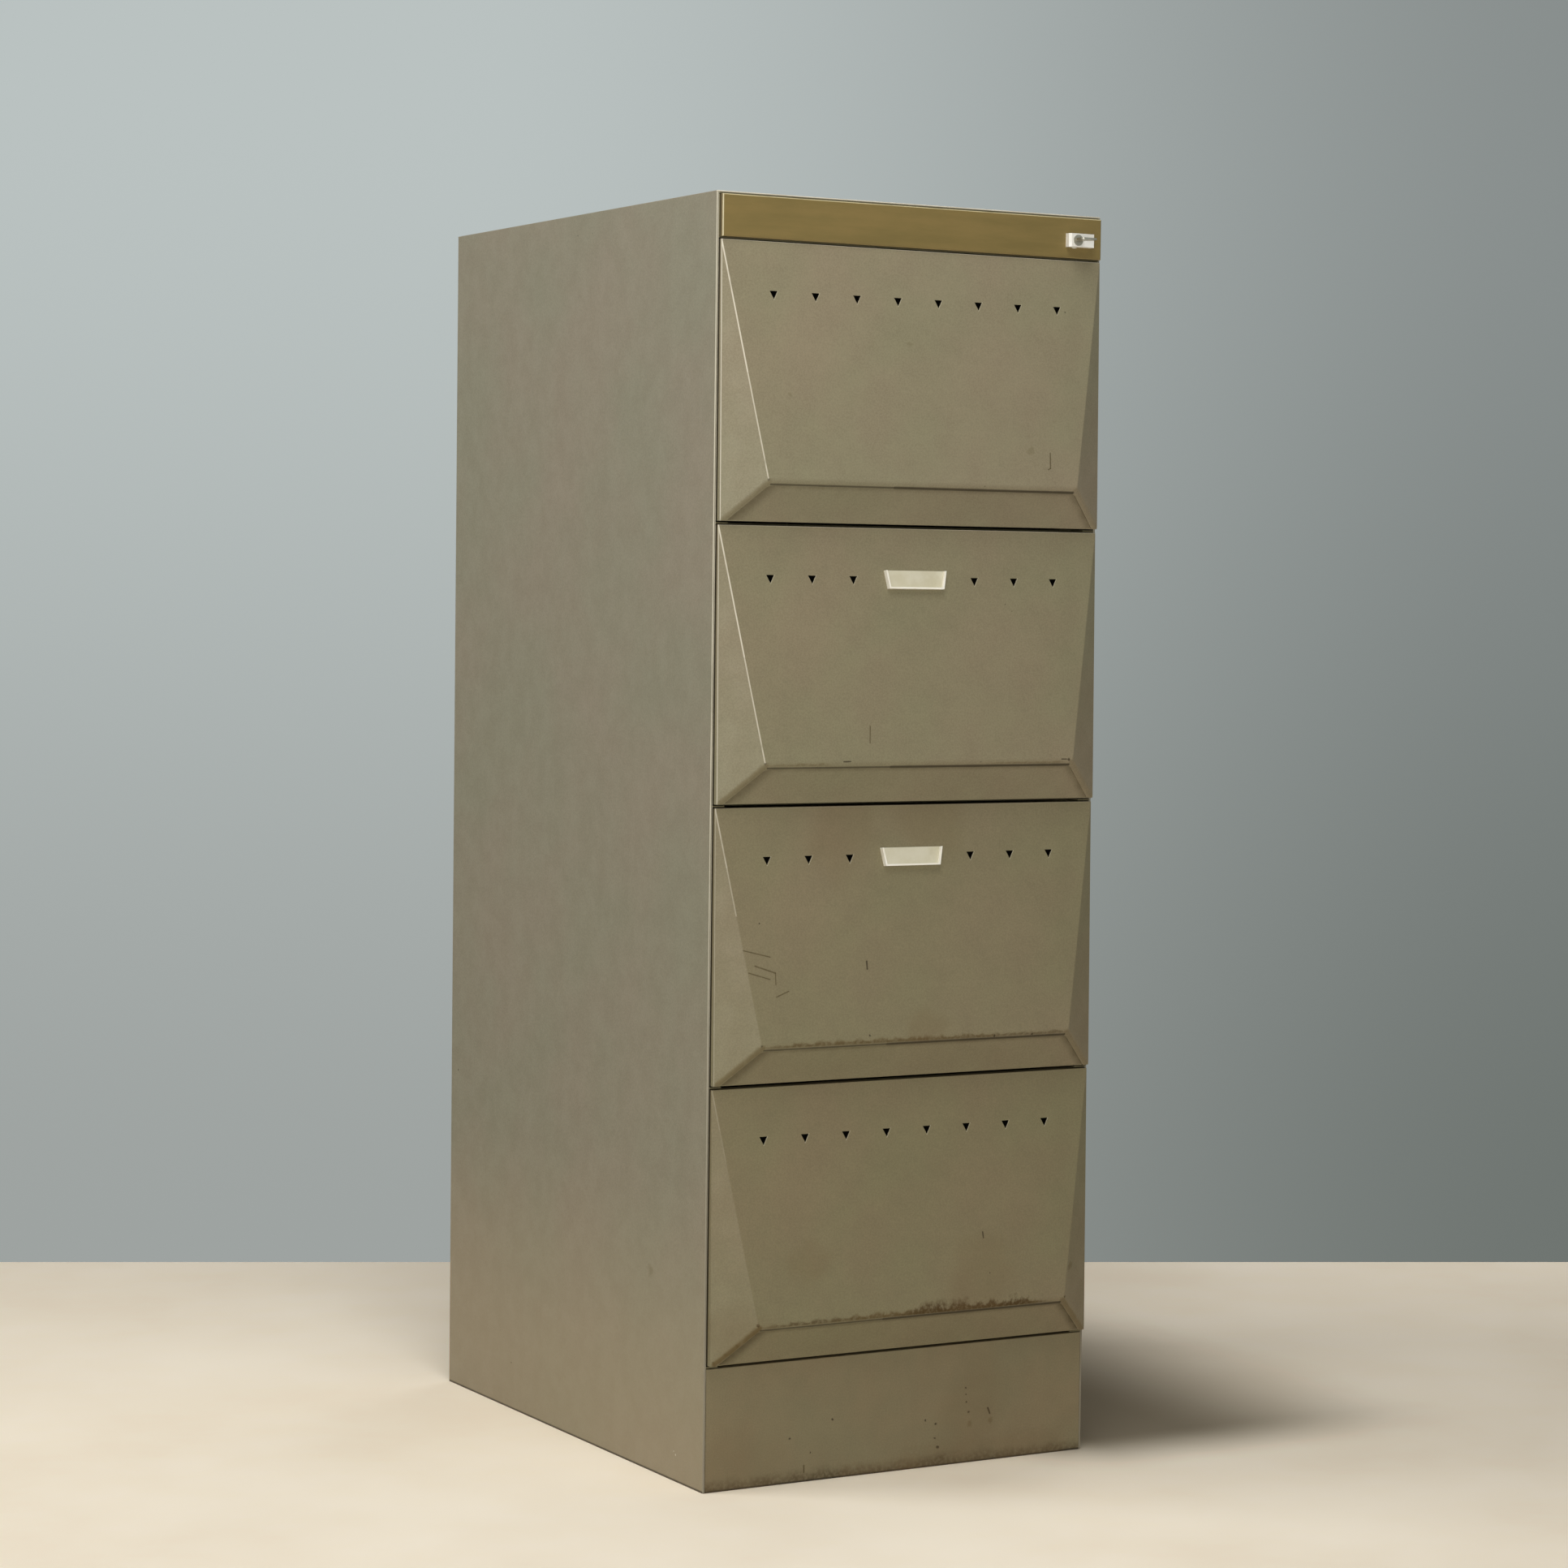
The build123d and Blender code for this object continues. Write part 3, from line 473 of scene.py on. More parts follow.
# pale lines along creases and edges, from rubbing and a painted highlight where the edge catches light,
# with their share of the front's own strength
paleEdgeLines = {
    "crease": {"share": 0.7, "width": 0.0010, "gaps": 0.05, "grain": 60.0, "ragged": 0.15},
    "leftEdge": {"share": 1.0, "width": 0.0009, "gaps": 0.05, "grain": 60.0, "ragged": 0.2},
    "topEdge": {"share": 0.45, "width": 0.0008, "gaps": 0.1, "grain": 40.0, "ragged": 0.5},
}
creasePasses = (1.0, 0.55)    # the crease line is laid twice near the corner, so it is paler there
ridgeChip = {"width": 0.0018, "strength": 0.7}
mitreDirt = {"low": (0.2235, 0.0025), "high": (0.1840, 0.0395), "sides": ((-1, 1.0), (1, 0.6)),
             "line": {"width": 0.0042, "gaps": 0.1, "grain": 90.0}}
# painted shadow under the lower edge of the pull lip: over its whole length, then again, wider, over the
# right part
lipShadowLine = {"half": 0.182, "rise": 0.0370, "line": {"gaps": 0.0, "grain": 50.0, "ragged": 0.3},
           "passes": ((1.0, 0.00144, 0.75), (0.2, 0.00216, 0.6))}    # share left, width, strength
# painted shade on the returns, in the gap where they meet the carcass
gapShade = {"inset": (0.0008, 0.0003), "depth": (-0.0024, -0.0010), "strength": 0.9}
holeRims = {"pitch": 0.0488, "rise": frontTall - 0.0541, "half": 0.0047, "tall": 0.0088,
            "perSide": 4, "tone": srgb(188, 180, 154), "strength": 0.6,
            "line": {"Width": 0.0008, "Ragged": 0.3, "Gaps": 0.1, "Grain": 60.0}}


def drawerOrigin(n):
    return (0, carcassFront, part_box(f"drawer_{n}_front")[0].z)


def onLeft(place):
    return (-place[0], place[1], place[2])


# pale right-hand edge of each marker hole: bare metal of the cut with a painted highlight where light from
# the left falls on it
def rimHoles(tree, point, color):
    axes = axisValues(tree, point)
    wrapped = mathNode(tree, "WRAP", axes[0], holeRims["pitch"], 0.0)
    local = put(tree, "ShaderNodeCombineXYZ")
    feed(tree, local.inputs[0], mathNode(tree, "SUBTRACT", wrapped, holeRims["pitch"] / 2))
    feed(tree, local.inputs[2], axes[2])
    reach = holeRims["tall"] / 2
    rim = useGroup(tree, wornLine, Point=local.outputs[0],
                   Start=(holeRims["half"], 0, holeRims["rise"] + reach),
                   End=(0, 0, holeRims["rise"] - reach), **holeRims["line"])
    rowEnd = holeRims["perSide"] * holeRims["pitch"]
    inRow = mathNode(tree, "LESS_THAN", mathNode(tree, "ABSOLUTE", axes[0]), rowEnd)
    mask = times(tree, rim["Mask"], inRow, holeRims["strength"])
    return mixColor(tree, mask, color, holeRims["tone"])


def paleEdgeLine(point, kind, strength, *places):
    line = dict(paleEdgeLines[kind])
    return {"point": point, "tone": markTones["pale"], "dulls": 0.05, "places": places,
            "strength": strength * line.pop("share"), **line}


def frontMarks(look, point, flat):
    corner, ridge, foot = (frontCreases[k] for k in ("corner", "ridge", "foot"))
    (lowX, lowRise), (highX, highRise) = mitreDirt["low"], mitreDirt["high"]
    half, rise = lipShadowLine["half"], lipShadowLine["rise"]
    marks = rowMarks(look, flat)
    # pale crease and edge lines: rubbing with a painted edge highlight
    for share in creasePasses:
        creaseEnd = Vector(corner).lerp(Vector(ridge), look["creaseShare"] * share)
        marks.append(paleEdgeLine(point, "crease", look["crease"], onLeft(corner), onLeft(creaseEnd)))
    if look["edge"]:
        marks.append(paleEdgeLine(point, "leftEdge", look["edge"], onLeft(corner), onLeft(foot)))
        marks.append(paleEdgeLine(point, "topEdge", look["edge"], onLeft(corner), corner))
    marks.append({"point": point, "tone": markTones["chip"], "places": [onLeft(ridge)], **ridgeChip})
    for side, share in mitreDirt["sides"]:
        ends = [(lowX * side, 0, lowRise), (highX * side, 0, highRise)]
        marks.append({"point": flat, "tone": markTones["brown"], "places": ends,
                      "strength": look["mitre"] * share, **mitreDirt["line"]})
    # painted shadow line under the pull lip
    for left, width, strength in lipShadowLine["passes"]:
        ends = [(-half * left, 0, rise), (half, 0, rise)]
        marks.append({"point": flat, "tone": markTones["seam"], "places": ends, "width": width,
                      "strength": strength, **lipShadowLine["line"]})
    return marks


def wearLightAndShadeFront(tree, point, look, color, rough, height):
    grimeFoot = frontCreases["ridge"][2] - look["grimeBelowRidge"]
    for start, end, tall, tone, strength in look["grime"]:
        grime = useGroup(tree, ridgeGrime, Point=point, From=start, To=end, Foot=grimeFoot, Tall=tall)
        mask = times(tree, grime["Mask"], strength)
        color, rough = stain(tree, color, rough, mask, markTones[tone], look["grimeDulls"])
    flat = vecNode(tree, "MULTIPLY", point, (1, 0, 1))
    color, rough, height = layMarks(tree, color, rough, height, frontMarks(look, point, flat))
    # pale right-hand edges of the marker holes, partly a painted highlight
    color = rimHoles(tree, point, color)
    axes = axisValues(tree, point)
    # painted shade on the returns, darker deeper into the gap to the carcass
    returns = (frontHalf - inset for inset in gapShade["inset"])
    onReturn = ramp(tree, mathNode(tree, "ABSOLUTE", axes[0]), *returns)
    sunk = ramp(tree, axes[1], *gapShade["depth"])
    gapShadow = times(tree, onReturn, sunk, gapShade["strength"])
    return mixColor(tree, gapShadow, color, markTones["seam"]), rough, height


# the recessed plate behind a lip: grime and painted shade at its slanting ends and along its top under the
# lip
gripDirtAndShade = {
    "foot": 0.2215, "slope": 1.0193, "tone": srgb(72, 60, 36), "dulls": 0.15,
    "left": (0.001, 0.024), "right": (0.0, 0.012), "top": (0.031, 0.037),
    "soft": (60.0, 4.0), "softSpan": (0.25, 0.7, 0.6, 1.0),
}


def wearAndShadeGrip(tree, point, look, color, rough, height):
    axes = axisValues(tree, point)
    atLeft, atRight, atTop = look["grip"]
    edge = timesPlus(tree, axes[2], -gripDirtAndShade["slope"], gripDirtAndShade["foot"])
    left = fade(tree, mathNode(tree, "ADD", edge, axes[0]), *gripDirtAndShade["left"], atLeft)
    right = fade(tree, mathNode(tree, "SUBTRACT", edge, axes[0]), *gripDirtAndShade["right"], atRight)
    # painted shade along the top of the plate, under the lip
    high = ramp(tree, axes[2], *gripDirtAndShade["top"], 0.0, atTop)
    most = mathNode(tree, "MAXIMUM", high, mathNode(tree, "MAXIMUM", left, right))
    dirtAndShade = times(tree, most, clouds(tree, point, gripDirtAndShade["soft"], gripDirtAndShade["softSpan"]))
    return *stain(tree, color, rough, dirtAndShade, gripDirtAndShade["tone"], gripDirtAndShade["dulls"]), height


footShadow = {"low": 0.0014, "high": 0.0028}    # painted contact shadow along the edge on the floor
carcassTones = {"warm": srgb(149, 139, 119), "cool": srgb(144, 140, 118)}
sideLook = {
    **enamelLook, **carcassTones, "patchSize": 0.22, "fleckShare": 0.03,
    # painted light bounced from the floor: lighter towards the floor
    "low": (0.03, 0.36), "lowShare": 0.6, "lowTone": srgb(168, 152, 122), "footShare": 0.85,
    # the fold along the front edge: its face, and an outer and an inner line that are pale from rubbing
    # and a painted highlight
    "hem": (0.0006, 0.0016), "outerLine": (0.0002, 0.0008), "innerLine": (0.0014, 0.0018),
    "belowTop": 0.0012, "hemShare": 0.8, "hemTone": srgb(126, 119, 102), "lineTone": srgb(214, 208, 186),
    "worn": (14.0, 4.0), "wornSpan": (0.25, 0.5, 0.45, 1.0), "bright": (0.15, 0.8, 0.15, 1.0),
    # places are behind the carcass front and above the floor
    "marks": (
        ("chip", (0.314, 1.298), 0.0010),
        ("chip", (0.279, 1.298), 0.0008),
        ("chip", (0.603, 0.365), 0.0016),
        ("smudge", (0.120, 0.210), 0.008),
        ("chip", (0.455, 0.052), 0.0012),
        ("pale", (0.060, 0.028), 0.0014),
        ("pale", (0.064, 0.031), 0.0010)),
    "anyMark": {"strength": 0.85, "sinks": 0.03}, "kinds": softMarks,
}


# side panels: painted floor-bounce light low down, a painted contact shadow at the foot, and pale lines
# along the folded front edge from rubbing and a painted highlight
def wearLightAndShadeSide(tree, point, look, color, rough, height):
    axes = axisValues(tree, point)
    # painted light bounced from the floor, fading upwards
    color = mixColor(tree, fade(tree, axes[2], *look["low"], look["lowShare"]), color, look["lowTone"])
    # painted contact shadow along the foot of the panel
    contactShadow = fade(tree, axes[2], footShadow["low"], footShadow["high"], look["footShare"])
    color = mixColor(tree, contactShadow, color, markTones["seam"])
    inward = mathNode(tree, "SUBTRACT", halfWide, mathNode(tree, "ABSOLUTE", axes[0]))
    belowTop = mathNode(tree, "LESS_THAN", axes[2], cabinetTop - look["belowTop"])
    hem = times(tree, fade(tree, axes[1], *look["hem"]), belowTop)
    color = mixColor(tree, times(tree, hem, look["hemShare"]), color, look["hemTone"])
    lines = mathNode(tree, "MAXIMUM", fade(tree, inward, *look["outerLine"]),
                     ramp(tree, inward, *look["innerLine"]))
    # patches that break up the pale edge lines
    worn = clouds(tree, point, look["worn"], look["wornSpan"])
    # the lines' painted highlight fades towards the floor
    bright = ramp(tree, axes[2], *look["bright"])
    paleHemLines = times(tree, times(tree, lines, hem), times(tree, worn, bright))
    color = mixColor(tree, paleHemLines, color, look["lineTone"])
    flat = vecNode(tree, "MULTIPLY", point, (0, 1, 1))
    return layMarks(tree, color, rough, height, rowMarks(look, flat, onSide=True))


topLook = {
    **enamelLook, **carcassTones, "patchSize": 0.2, "fleckShare": 0.05,
    "lip": (0.001, 0.003), "lipTone": srgb(92, 84, 52), "lipShare": 0.85,
    "rim": (-0.0014, -0.0009), "rimTone": srgb(224, 216, 196),
    "worn": (10.0, 4.0), "wornSpan": (0.25, 0.5, 0.5, 1.0),
    "dust": (6.0, 4.0), "dustSpan": (0.35, 0.7, 0.0, 0.3),
    "dustTone": srgb(160, 152, 132), "dustDulls": 0.4,
}


# top panel: the front rim pale from rubbing and a painted highlight, and painted shade on the lip below it
def wearLightAndShadeTop(tree, point, look, color, rough, height):
    axes = axisValues(tree, point)
    atFront = fade(tree, axes[1], *look["lip"])
    rim = ramp(tree, axes[2], *look["rim"])
    worn = clouds(tree, point, look["worn"], look["wornSpan"])
    # painted shade on the lip, painted highlight on the rim above it
    color = mixColor(tree, times(tree, atFront, look["lipShare"]), color, look["lipTone"])
    color = mixColor(tree, times(tree, atFront, rim, worn), color, look["rimTone"])
    dust = clouds(tree, point, look["dust"], look["dustSpan"])
    return *stain(tree, color, rough, dust, look["dustTone"], look["dustDulls"]), height


plinthLook = {
    **enamelLook, "warm": srgb(136, 122, 93), "cool": srgb(132, 123, 94),
    "grain": 0.14, "patchSize": 0.1, "fleckShare": 0.06,
    "rag": (30.0, 4.0, 0.6), "ragDepth": 0.02, "dirtRise": (-0.009, 0.006), "dirtShare": 0.75,
    "speckle": (260.0, 3.0), "speckleSpan": (0.3, 0.6, 0.35, 1.0),
    "dirtTone": srgb(76, 62, 38), "dirtDulls": 0.3, "footShare": 0.95,
    "marks": (
        ("chip", (0.084, 0.080), 0.0014),
        ("chip", (0.0845, 0.073), 0.00112),
        ("chip", (0.085, 0.065), 0.00154),
        ("chip", (0.088, 0.054), 0.00196),
        ("brown", (0.0895, 0.041), 0.0042),
        ("chip", (0.112, 0.056), (0.1145, 0.050), 0.0014),
        ("brown", (0.1155, 0.043), 0.0042),
        ("chip", (0.034, 0.050), 0.00182),
        ("chip", (0.047, 0.045), 0.00182),
        ("chip", (0.050, 0.020), 0.00252),
        ("chip", (0.046, 0.030), 0.00168),
        ("chip", (-0.130, 0.047), 0.00182),
        ("chip", (-0.079, 0.062), 0.00182),
        ("scratch", (-0.1125, 0.010), (-0.1125, 0.017), 0.00126),
        ("chip", (-0.105, 0.030), 0.00112),
        ("haze", (-0.210, 0.010), 0.084),
        ("haze", (0.020, 0.004), (0.190, 0.008), 0.028),
        ("haze", (0.095, 0.050), 0.063),
        ("haze", (-0.060, 0.003), (0.020, 0.003), 0.014)),
    "anyMark": {"strength": 0.95, "gaps": 0.15, "grain": 240.0}, "kinds": softMarks,
}


# plinth: a darker tone, a grimy lower edge and a painted contact shadow along the floor
def wearAndShadePlinth(tree, point, look, color, rough, height):
    axes = axisValues(tree, point)
    level = timesPlus(tree, noiseAt(tree, point, *look["rag"]), -look["ragDepth"], axes[2])
    speckle = clouds(tree, point, look["speckle"], look["speckleSpan"])
    dirtAndShade = times(tree, speckle, fade(tree, level, *look["dirtRise"], look["dirtShare"]))
    color = mixColor(tree, dirtAndShade, color, look["dirtTone"])
    # painted contact shadow along the foot of the plinth
    contactShadow = fade(tree, axes[2], footShadow["low"], footShadow["high"], look["footShare"])
    color = mixColor(tree, contactShadow, color, markTones["seam"])
    flat = vecNode(tree, "MULTIPLY", point, (1, 0, 1))
    color, rough, height = layMarks(tree, color, rough, height, rowMarks(look, flat))
    return color, timesPlus(tree, dirtAndShade, look["dirtDulls"], rough), height


frameLook = {
    **enamelLook, "warm": srgb(112, 102, 74), "cool": srgb(104, 100, 72),
    "patchSize": 0.1, "fleckShare": 0.1,
}
backLook = {
    **enamelLook, **carcassTones, "patchSize": 0.25, "fleckShare": 0.06, "waveHeight": 0.8,
    # rows of spot welds
    "pitch": 0.090, "fromEdge": 0.0195, "radius": 0.0036, "depth": 0.5, "weldShare": 0.5,
    "marks": (
        ("smudge", (-0.10, 0.92), (0.06, 0.95), 0.0016),
        ("scratch", (0.12, 0.41), (0.15, 0.52), 0.0008),
        ("rust", (-0.20, 0.006), (0.20, 0.006), 0.006)),
    "anyMark": {"strength": 0.6, "grain": 60.0},
    "kinds": {"smudge": {"strength": 0.4, "gaps": 0.6}, "scratch": {"gaps": 0.4, "grain": 90.0},
              "rust": {"gaps": 0.7, "ragged": 0.9}},
}


# back panel: the same coat over rows of spot welds along both edges
def wearBack(tree, point, look, color, rough, height):
    axes = axisValues(tree, point)
    away = put(tree, "ShaderNodeCombineXYZ")
    fromRow = mathNode(tree, "SUBTRACT", mathNode(tree, "ABSOLUTE", axes[0]), halfWide - look["fromEdge"])
    feed(tree, away.inputs[0], fromRow)
    feed(tree, away.inputs[2], mathNode(tree, "PINGPONG", axes[2], look["pitch"] / 2))
    far = vecNode(tree, "LENGTH", away.outputs[0])
    weld = fade(tree, far, look["radius"] * 0.5, look["radius"])
    height = timesPlus(tree, weld, -look["depth"], height)
    color = mixColor(tree, times(tree, weld, look["weldShare"]), color, markTones["scratch"])
    flat = vecNode(tree, "MULTIPLY", point, (1, 0, 1))
    return layMarks(tree, color, rough, height, rowMarks(look, flat))


trayLook = {
    **enamelLook, "warm": srgb(134, 124, 100), "cool": srgb(127, 123, 97),
    "patchSize": 0.12, "fleckShare": 0.08,
    "stretch": (1, 0.06, 1), "rub": (260.0, 3.0, 0.6), "rubSpan": (0.62, 0.72, 0.0, 0.5),
    "rubTone": srgb(160, 152, 130), "rubDulls": -0.1,
}


# drawer trays: scuffed in fine streaks by files
def wearTray(tree, point, look, color, rough, height):
    pulled = vecNode(tree, "MULTIPLY", point, look["stretch"])
    rub = clouds(tree, pulled, look["rub"], look["rubSpan"])
    return *stain(tree, color, rough, rub, look["rubTone"], look["rubDulls"]), height


innerFrontLook = {**trayLook, "depth": (0.0002, 0.0005), "darkTone": srgb(26, 22, 14), "darkDulls": 0.3}


# painted shade on the inner fronts, on the face that only the marker holes show
def shadeInnerFront(tree, point, look, color, rough, height):
    outer = fade(tree, axisValues(tree, point)[1], *look["depth"])
    return *stain(tree, color, rough, outer, look["darkTone"], look["darkDulls"]), height


bandLook = {
    "lacquer": srgb(131, 112, 66), "deep": srgb(119, 103, 58), "roughness": 0.38, "specular": 0.4,
    "stretch": (1, 4, 6), "cloud": (9.0, 4.0, 0.6), "cloudDulls": 0.12,
    "ripple": 6.0, "rippleHeight": 0.2, "peel": 700.0, "peelHeight": 0.01,
    "worn": (30.0, 4.0), "wornSpan": (0.25, 0.5, 0.5, 1.0), "wornDepth": (0.0008, 0.0015),
    "top": (0.0012, 0.0007), "low": (0.0005, 0.0011), "left": (0.0006, 0.0011),
    "topEdge": (srgb(206, 192, 148), 0.9), "lowEdge": (srgb(150, 132, 90), 0.7),
    "leftEdge": (srgb(212, 202, 166), 0.9),
    "endDepth": (0.0020, 0.0045), "endShare": 0.8,
}


# fascia band: olive lacquer, its rounded edges pale from rubbing and a painted highlight, its ends
# darkened with painted shade
def makeBandLacquer():
    look = bandLook
    low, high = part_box("fascia_band")
    material, tree, shader, point = startMaterial("fasciaBandLacquer", (low.x, low.y, low.z))
    axes = axisValues(tree, point)
    wide = vecNode(tree, "MULTIPLY", point, look["stretch"])
    cloud = clouds(tree, wide, look["cloud"])
    color = mixColor(tree, cloud, look["lacquer"], look["deep"])
    upper = ramp(tree, axes[2], *(high.z - low.z - below for below in look["top"]))
    lower = fade(tree, axes[2], *look["low"])
    left = fade(tree, axes[0], *look["left"])
    worn = clouds(tree, point, look["worn"], look["wornSpan"])
    shown = times(tree, fade(tree, axes[1], *look["wornDepth"]), worn)
    # pale rounded edges, partly a painted highlight: brightest along the top and left, where the light
    # falls
    for edge, name in ((upper, "topEdge"), (lower, "lowEdge"), (left, "leftEdge")):
        tone, strength = look[name]
        color = mixColor(tree, times(tree, edge, times(tree, shown, strength)), color, tone)
    # painted shade on the band's ends, darker towards the back
    ends = times(tree, ramp(tree, axes[1], *look["endDepth"]), look["endShare"])
    color = mixColor(tree, ends, color, markTones["seam"])
    rough = timesPlus(tree, cloud, look["cloudDulls"], look["roughness"])
    ripple = times(tree, noiseAt(tree, wide, look["ripple"]), look["rippleHeight"])
    peel = times(tree, noiseAt(tree, point, look["peel"]), look["peelHeight"])
    finishSurface(tree, shader, color, rough, mathNode(tree, "ADD", ripple, peel), look["specular"])
    return material


# zinc, aluminium and nickel pieces share one recipe with their own tones
plainMetal = {
    "grain": (1.0, 1.0, 1.0), "scratch": 0.003, "dullShare": 0.7, "dullRough": 0.2, "streakRough": 0.12,
}
metalLooks = {
    "slideZinc": {
        "light": srgb(182, 182, 176), "dark": srgb(166, 166, 160), "dull": srgb(146, 142, 132),
        "metallic": 0.85, "roughness": 0.34, "grain": (1.0, 0.04, 1.0), "scratch": 0.004},
    "hardwareZinc": {
        "light": srgb(184, 182, 170), "dark": srgb(164, 162, 150), "dull": srgb(138, 132, 116),
        "metallic": 0.85, "roughness": 0.38, "grain": (1.0, 1.0, 0.05), "scratch": 0.004},
    "rivetAluminium": {
        "light": srgb(206, 205, 200), "dark": srgb(176, 175, 170), "dull": srgb(112, 106, 92),
        "metallic": 0.7, "roughness": 0.4},
    "lockBlockNickel": {
        "light": srgb(255, 252, 244), "dark": srgb(248, 244, 232), "dull": srgb(226, 220, 204),
        "metallic": 0.25, "roughness": 0.34, "grain": (0.05, 1.0, 1.0)},
    "lockPlugNickel": {
        "light": srgb(190, 186, 170), "dark": srgb(166, 162, 146), "dull": srgb(138, 130, 112),
        "metallic": 0.6, "roughness": 0.35},
    "keyNickel": {
        "light": srgb(196, 192, 178), "dark": srgb(164, 158, 140), "dull": srgb(136, 120, 84),
        "metallic": 0.8, "roughness": 0.32, "grain": (1.0, 0.1, 1.0), "scratch": 0.004},
}


def makeMetal(name):
    look = {**plainMetal, **metalLooks[name]}
    material, tree, shader, point = startMaterial(name)
    plate = useGroup(tree, platedSteel, Point=point, Grain=look["grain"])
    color = mixColor(tree, plate["Tone"], look["light"], look["dark"])
    color = mixColor(tree, times(tree, plate["Dull"], look["dullShare"]), color, look["dull"])
    evenRough = look["roughness"] - look["streakRough"] / 2
    streaked = timesPlus(tree, plate["Streak"], look["streakRough"], evenRough)
    rough = timesPlus(tree, plate["Dull"], look["dullRough"], streaked)
    shader.inputs["Metallic"].default_value = look["metallic"]
    finishSurface(tree, shader, color, rough, times(tree, plate["Streak"], look["scratch"]))
    return material


holderLook = {
    "ivory": srgb(253, 250, 238), "aged": srgb(246, 240, 222), "roughness": 0.4,
    "cloud": (55.0, 4.0, 0.6), "cloudDulls": 0.15, "grain": 500.0, "grainHeight": 0.01,
}


def makeHolderPlastic():
    look = holderLook
    material, tree, shader, point = startMaterial("holderPlastic")
    cloud = clouds(tree, point, look["cloud"])
    color = mixColor(tree, cloud, look["ivory"], look["aged"])
    rough = timesPlus(tree, cloud, look["cloudDulls"], look["roughness"])
    height = times(tree, noiseAt(tree, point, look["grain"]), look["grainHeight"])
    finishSurface(tree, shader, color, rough, height)
    return material


cardLook = {
    "cream": srgb(216, 211, 188), "stained": srgb(204, 197, 168), "roughness": 0.85,
    "stain": (38.0, 4.0, 0.6), "stainSpan": (0.35, 0.75),
    "fibre": (1500.0, 3.0), "fibreTone": srgb(150, 140, 112), "fibreShare": 0.08,
    "fibreDulls": 0.1, "fibreHeight": 0.03,
}


def makeCard():
    look = cardLook
    material, tree, shader, point = startMaterial("labelCard")
    aged = clouds(tree, point, look["stain"], look["stainSpan"])
    fibre = noiseAt(tree, point, *look["fibre"])
    color = mixColor(tree, aged, look["cream"], look["stained"])
    color = mixColor(tree, times(tree, fibre, look["fibreShare"]), color, look["fibreTone"])
    evenRough = look["roughness"] - look["fibreDulls"] / 2
    rough = timesPlus(tree, fibre, look["fibreDulls"], evenRough)
    finishSurface(tree, shader, color, rough, times(tree, fibre, look["fibreHeight"]))
    return material


atFloor = (0, carcassFront, 0)
atTop = (0, carcassFront, cabinetTop)
atInnerFronts = (0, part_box("drawer_1_inner_front")[0].y, 0)
materials = {
    "carcass": makePaint("carcassPaint", sideLook, atFloor, wearLightAndShadeSide),
    "back": makePaint("backPanelPaint", backLook, atFloor, wearBack),
    "top": makePaint("topPanelPaint", topLook, atTop, wearLightAndShadeTop),
    "plinth": makePaint("plinthPaint", plinthLook, atFloor, wearAndShadePlinth),
    "band": makeBandLacquer(), "frame": makePaint("framePaint", frameLook),
    "tray": makePaint("trayPaint", trayLook, wearAndLight=wearTray),
    "innerFront": makePaint("innerFrontPaint", innerFrontLook, atInnerFronts, shadeInnerFront),
    "slide": makeMetal("slideZinc"), "hardware": makeMetal("hardwareZinc"),
    "rivet": makeMetal("rivetAluminium"), "lockBlock": makeMetal("lockBlockNickel"),
    "lockPlug": makeMetal("lockPlugNickel"), "key": makeMetal("keyNickel"),
    "holder": makeHolderPlastic(), "card": makeCard(),
}
wearing = {
    "carcass": ["left_side_panel", "right_side_panel"],
    "back": ["back_panel"], "top": ["top_panel"], "plinth": ["plinth_front"], "band": ["fascia_band"],
    "frame": ["floor_pan", "top_rail", "divider_rails", *(name for name in nodes if "_post" in name)],
    "tray": [f"drawer_{n}_tray" for n in drawers],
    "innerFront": [f"drawer_{n}_inner_front" for n in drawers],
    "slide": [name for name in nodes if "_slides" in name],
    "hardware": ["lock_nut", "lock_cam", *(name for name in nodes if name.startswith("locking_bar")),
                 *(f"drawer_{n}_catch" for n in drawers)],
    "lockBlock": ["lock_housing", "lock_barrel"], "lockPlug": ["lock_plug"], "key": ["lock_key"],
    "holder": ["label_holder_2", "label_holder_3"], "card": ["label_card_2", "label_card_3"],
}
for n in drawers:
    look = {**enamelLook, **frontLook, **frontWear[n]}
    for finish, name, wearAndLight in (("front", "drawerFrontPaint", wearLightAndShadeFront), ("grip", "gripPaint", wearAndShadeGrip)):
        materials[f"{finish}{n}"] = makePaint(f"{name}{n}", look, drawerOrigin(n), wearAndLight)
        wearing[f"{finish}{n}"] = [f"drawer_{n}_{finish}"]
finishes = {name: finish for finish, names in wearing.items() for name in names}
for name, node in nodes.items():
    node.data.materials.clear()
    node.data.materials.append(materials[finishes[name]])
print("finishes on", len(nodes), "nodes:", len(materials), "materials")


# blind rivets that hold the slides to the trays, with heads inside the tray and in the channel
rivetLook = {
    "radius": 0.0042, "rise": 0.0013, "sides": 20, "smoothBelow": 40,    # m and degrees
    "rings": ((0.95, 0.4), (0.85, 0.3), (0.72, 0.2), (0.65, 0.1)),    # each narrower, and its rise
    "hole": 0.55, "holeDepth": 0.8, "holeTaper": 0.9,
    "perSide": 4, "endGap": 0.045,
    "trayHem": 0.008, "traySheet": 0.0008, "slideSheet": 0.0012,
}


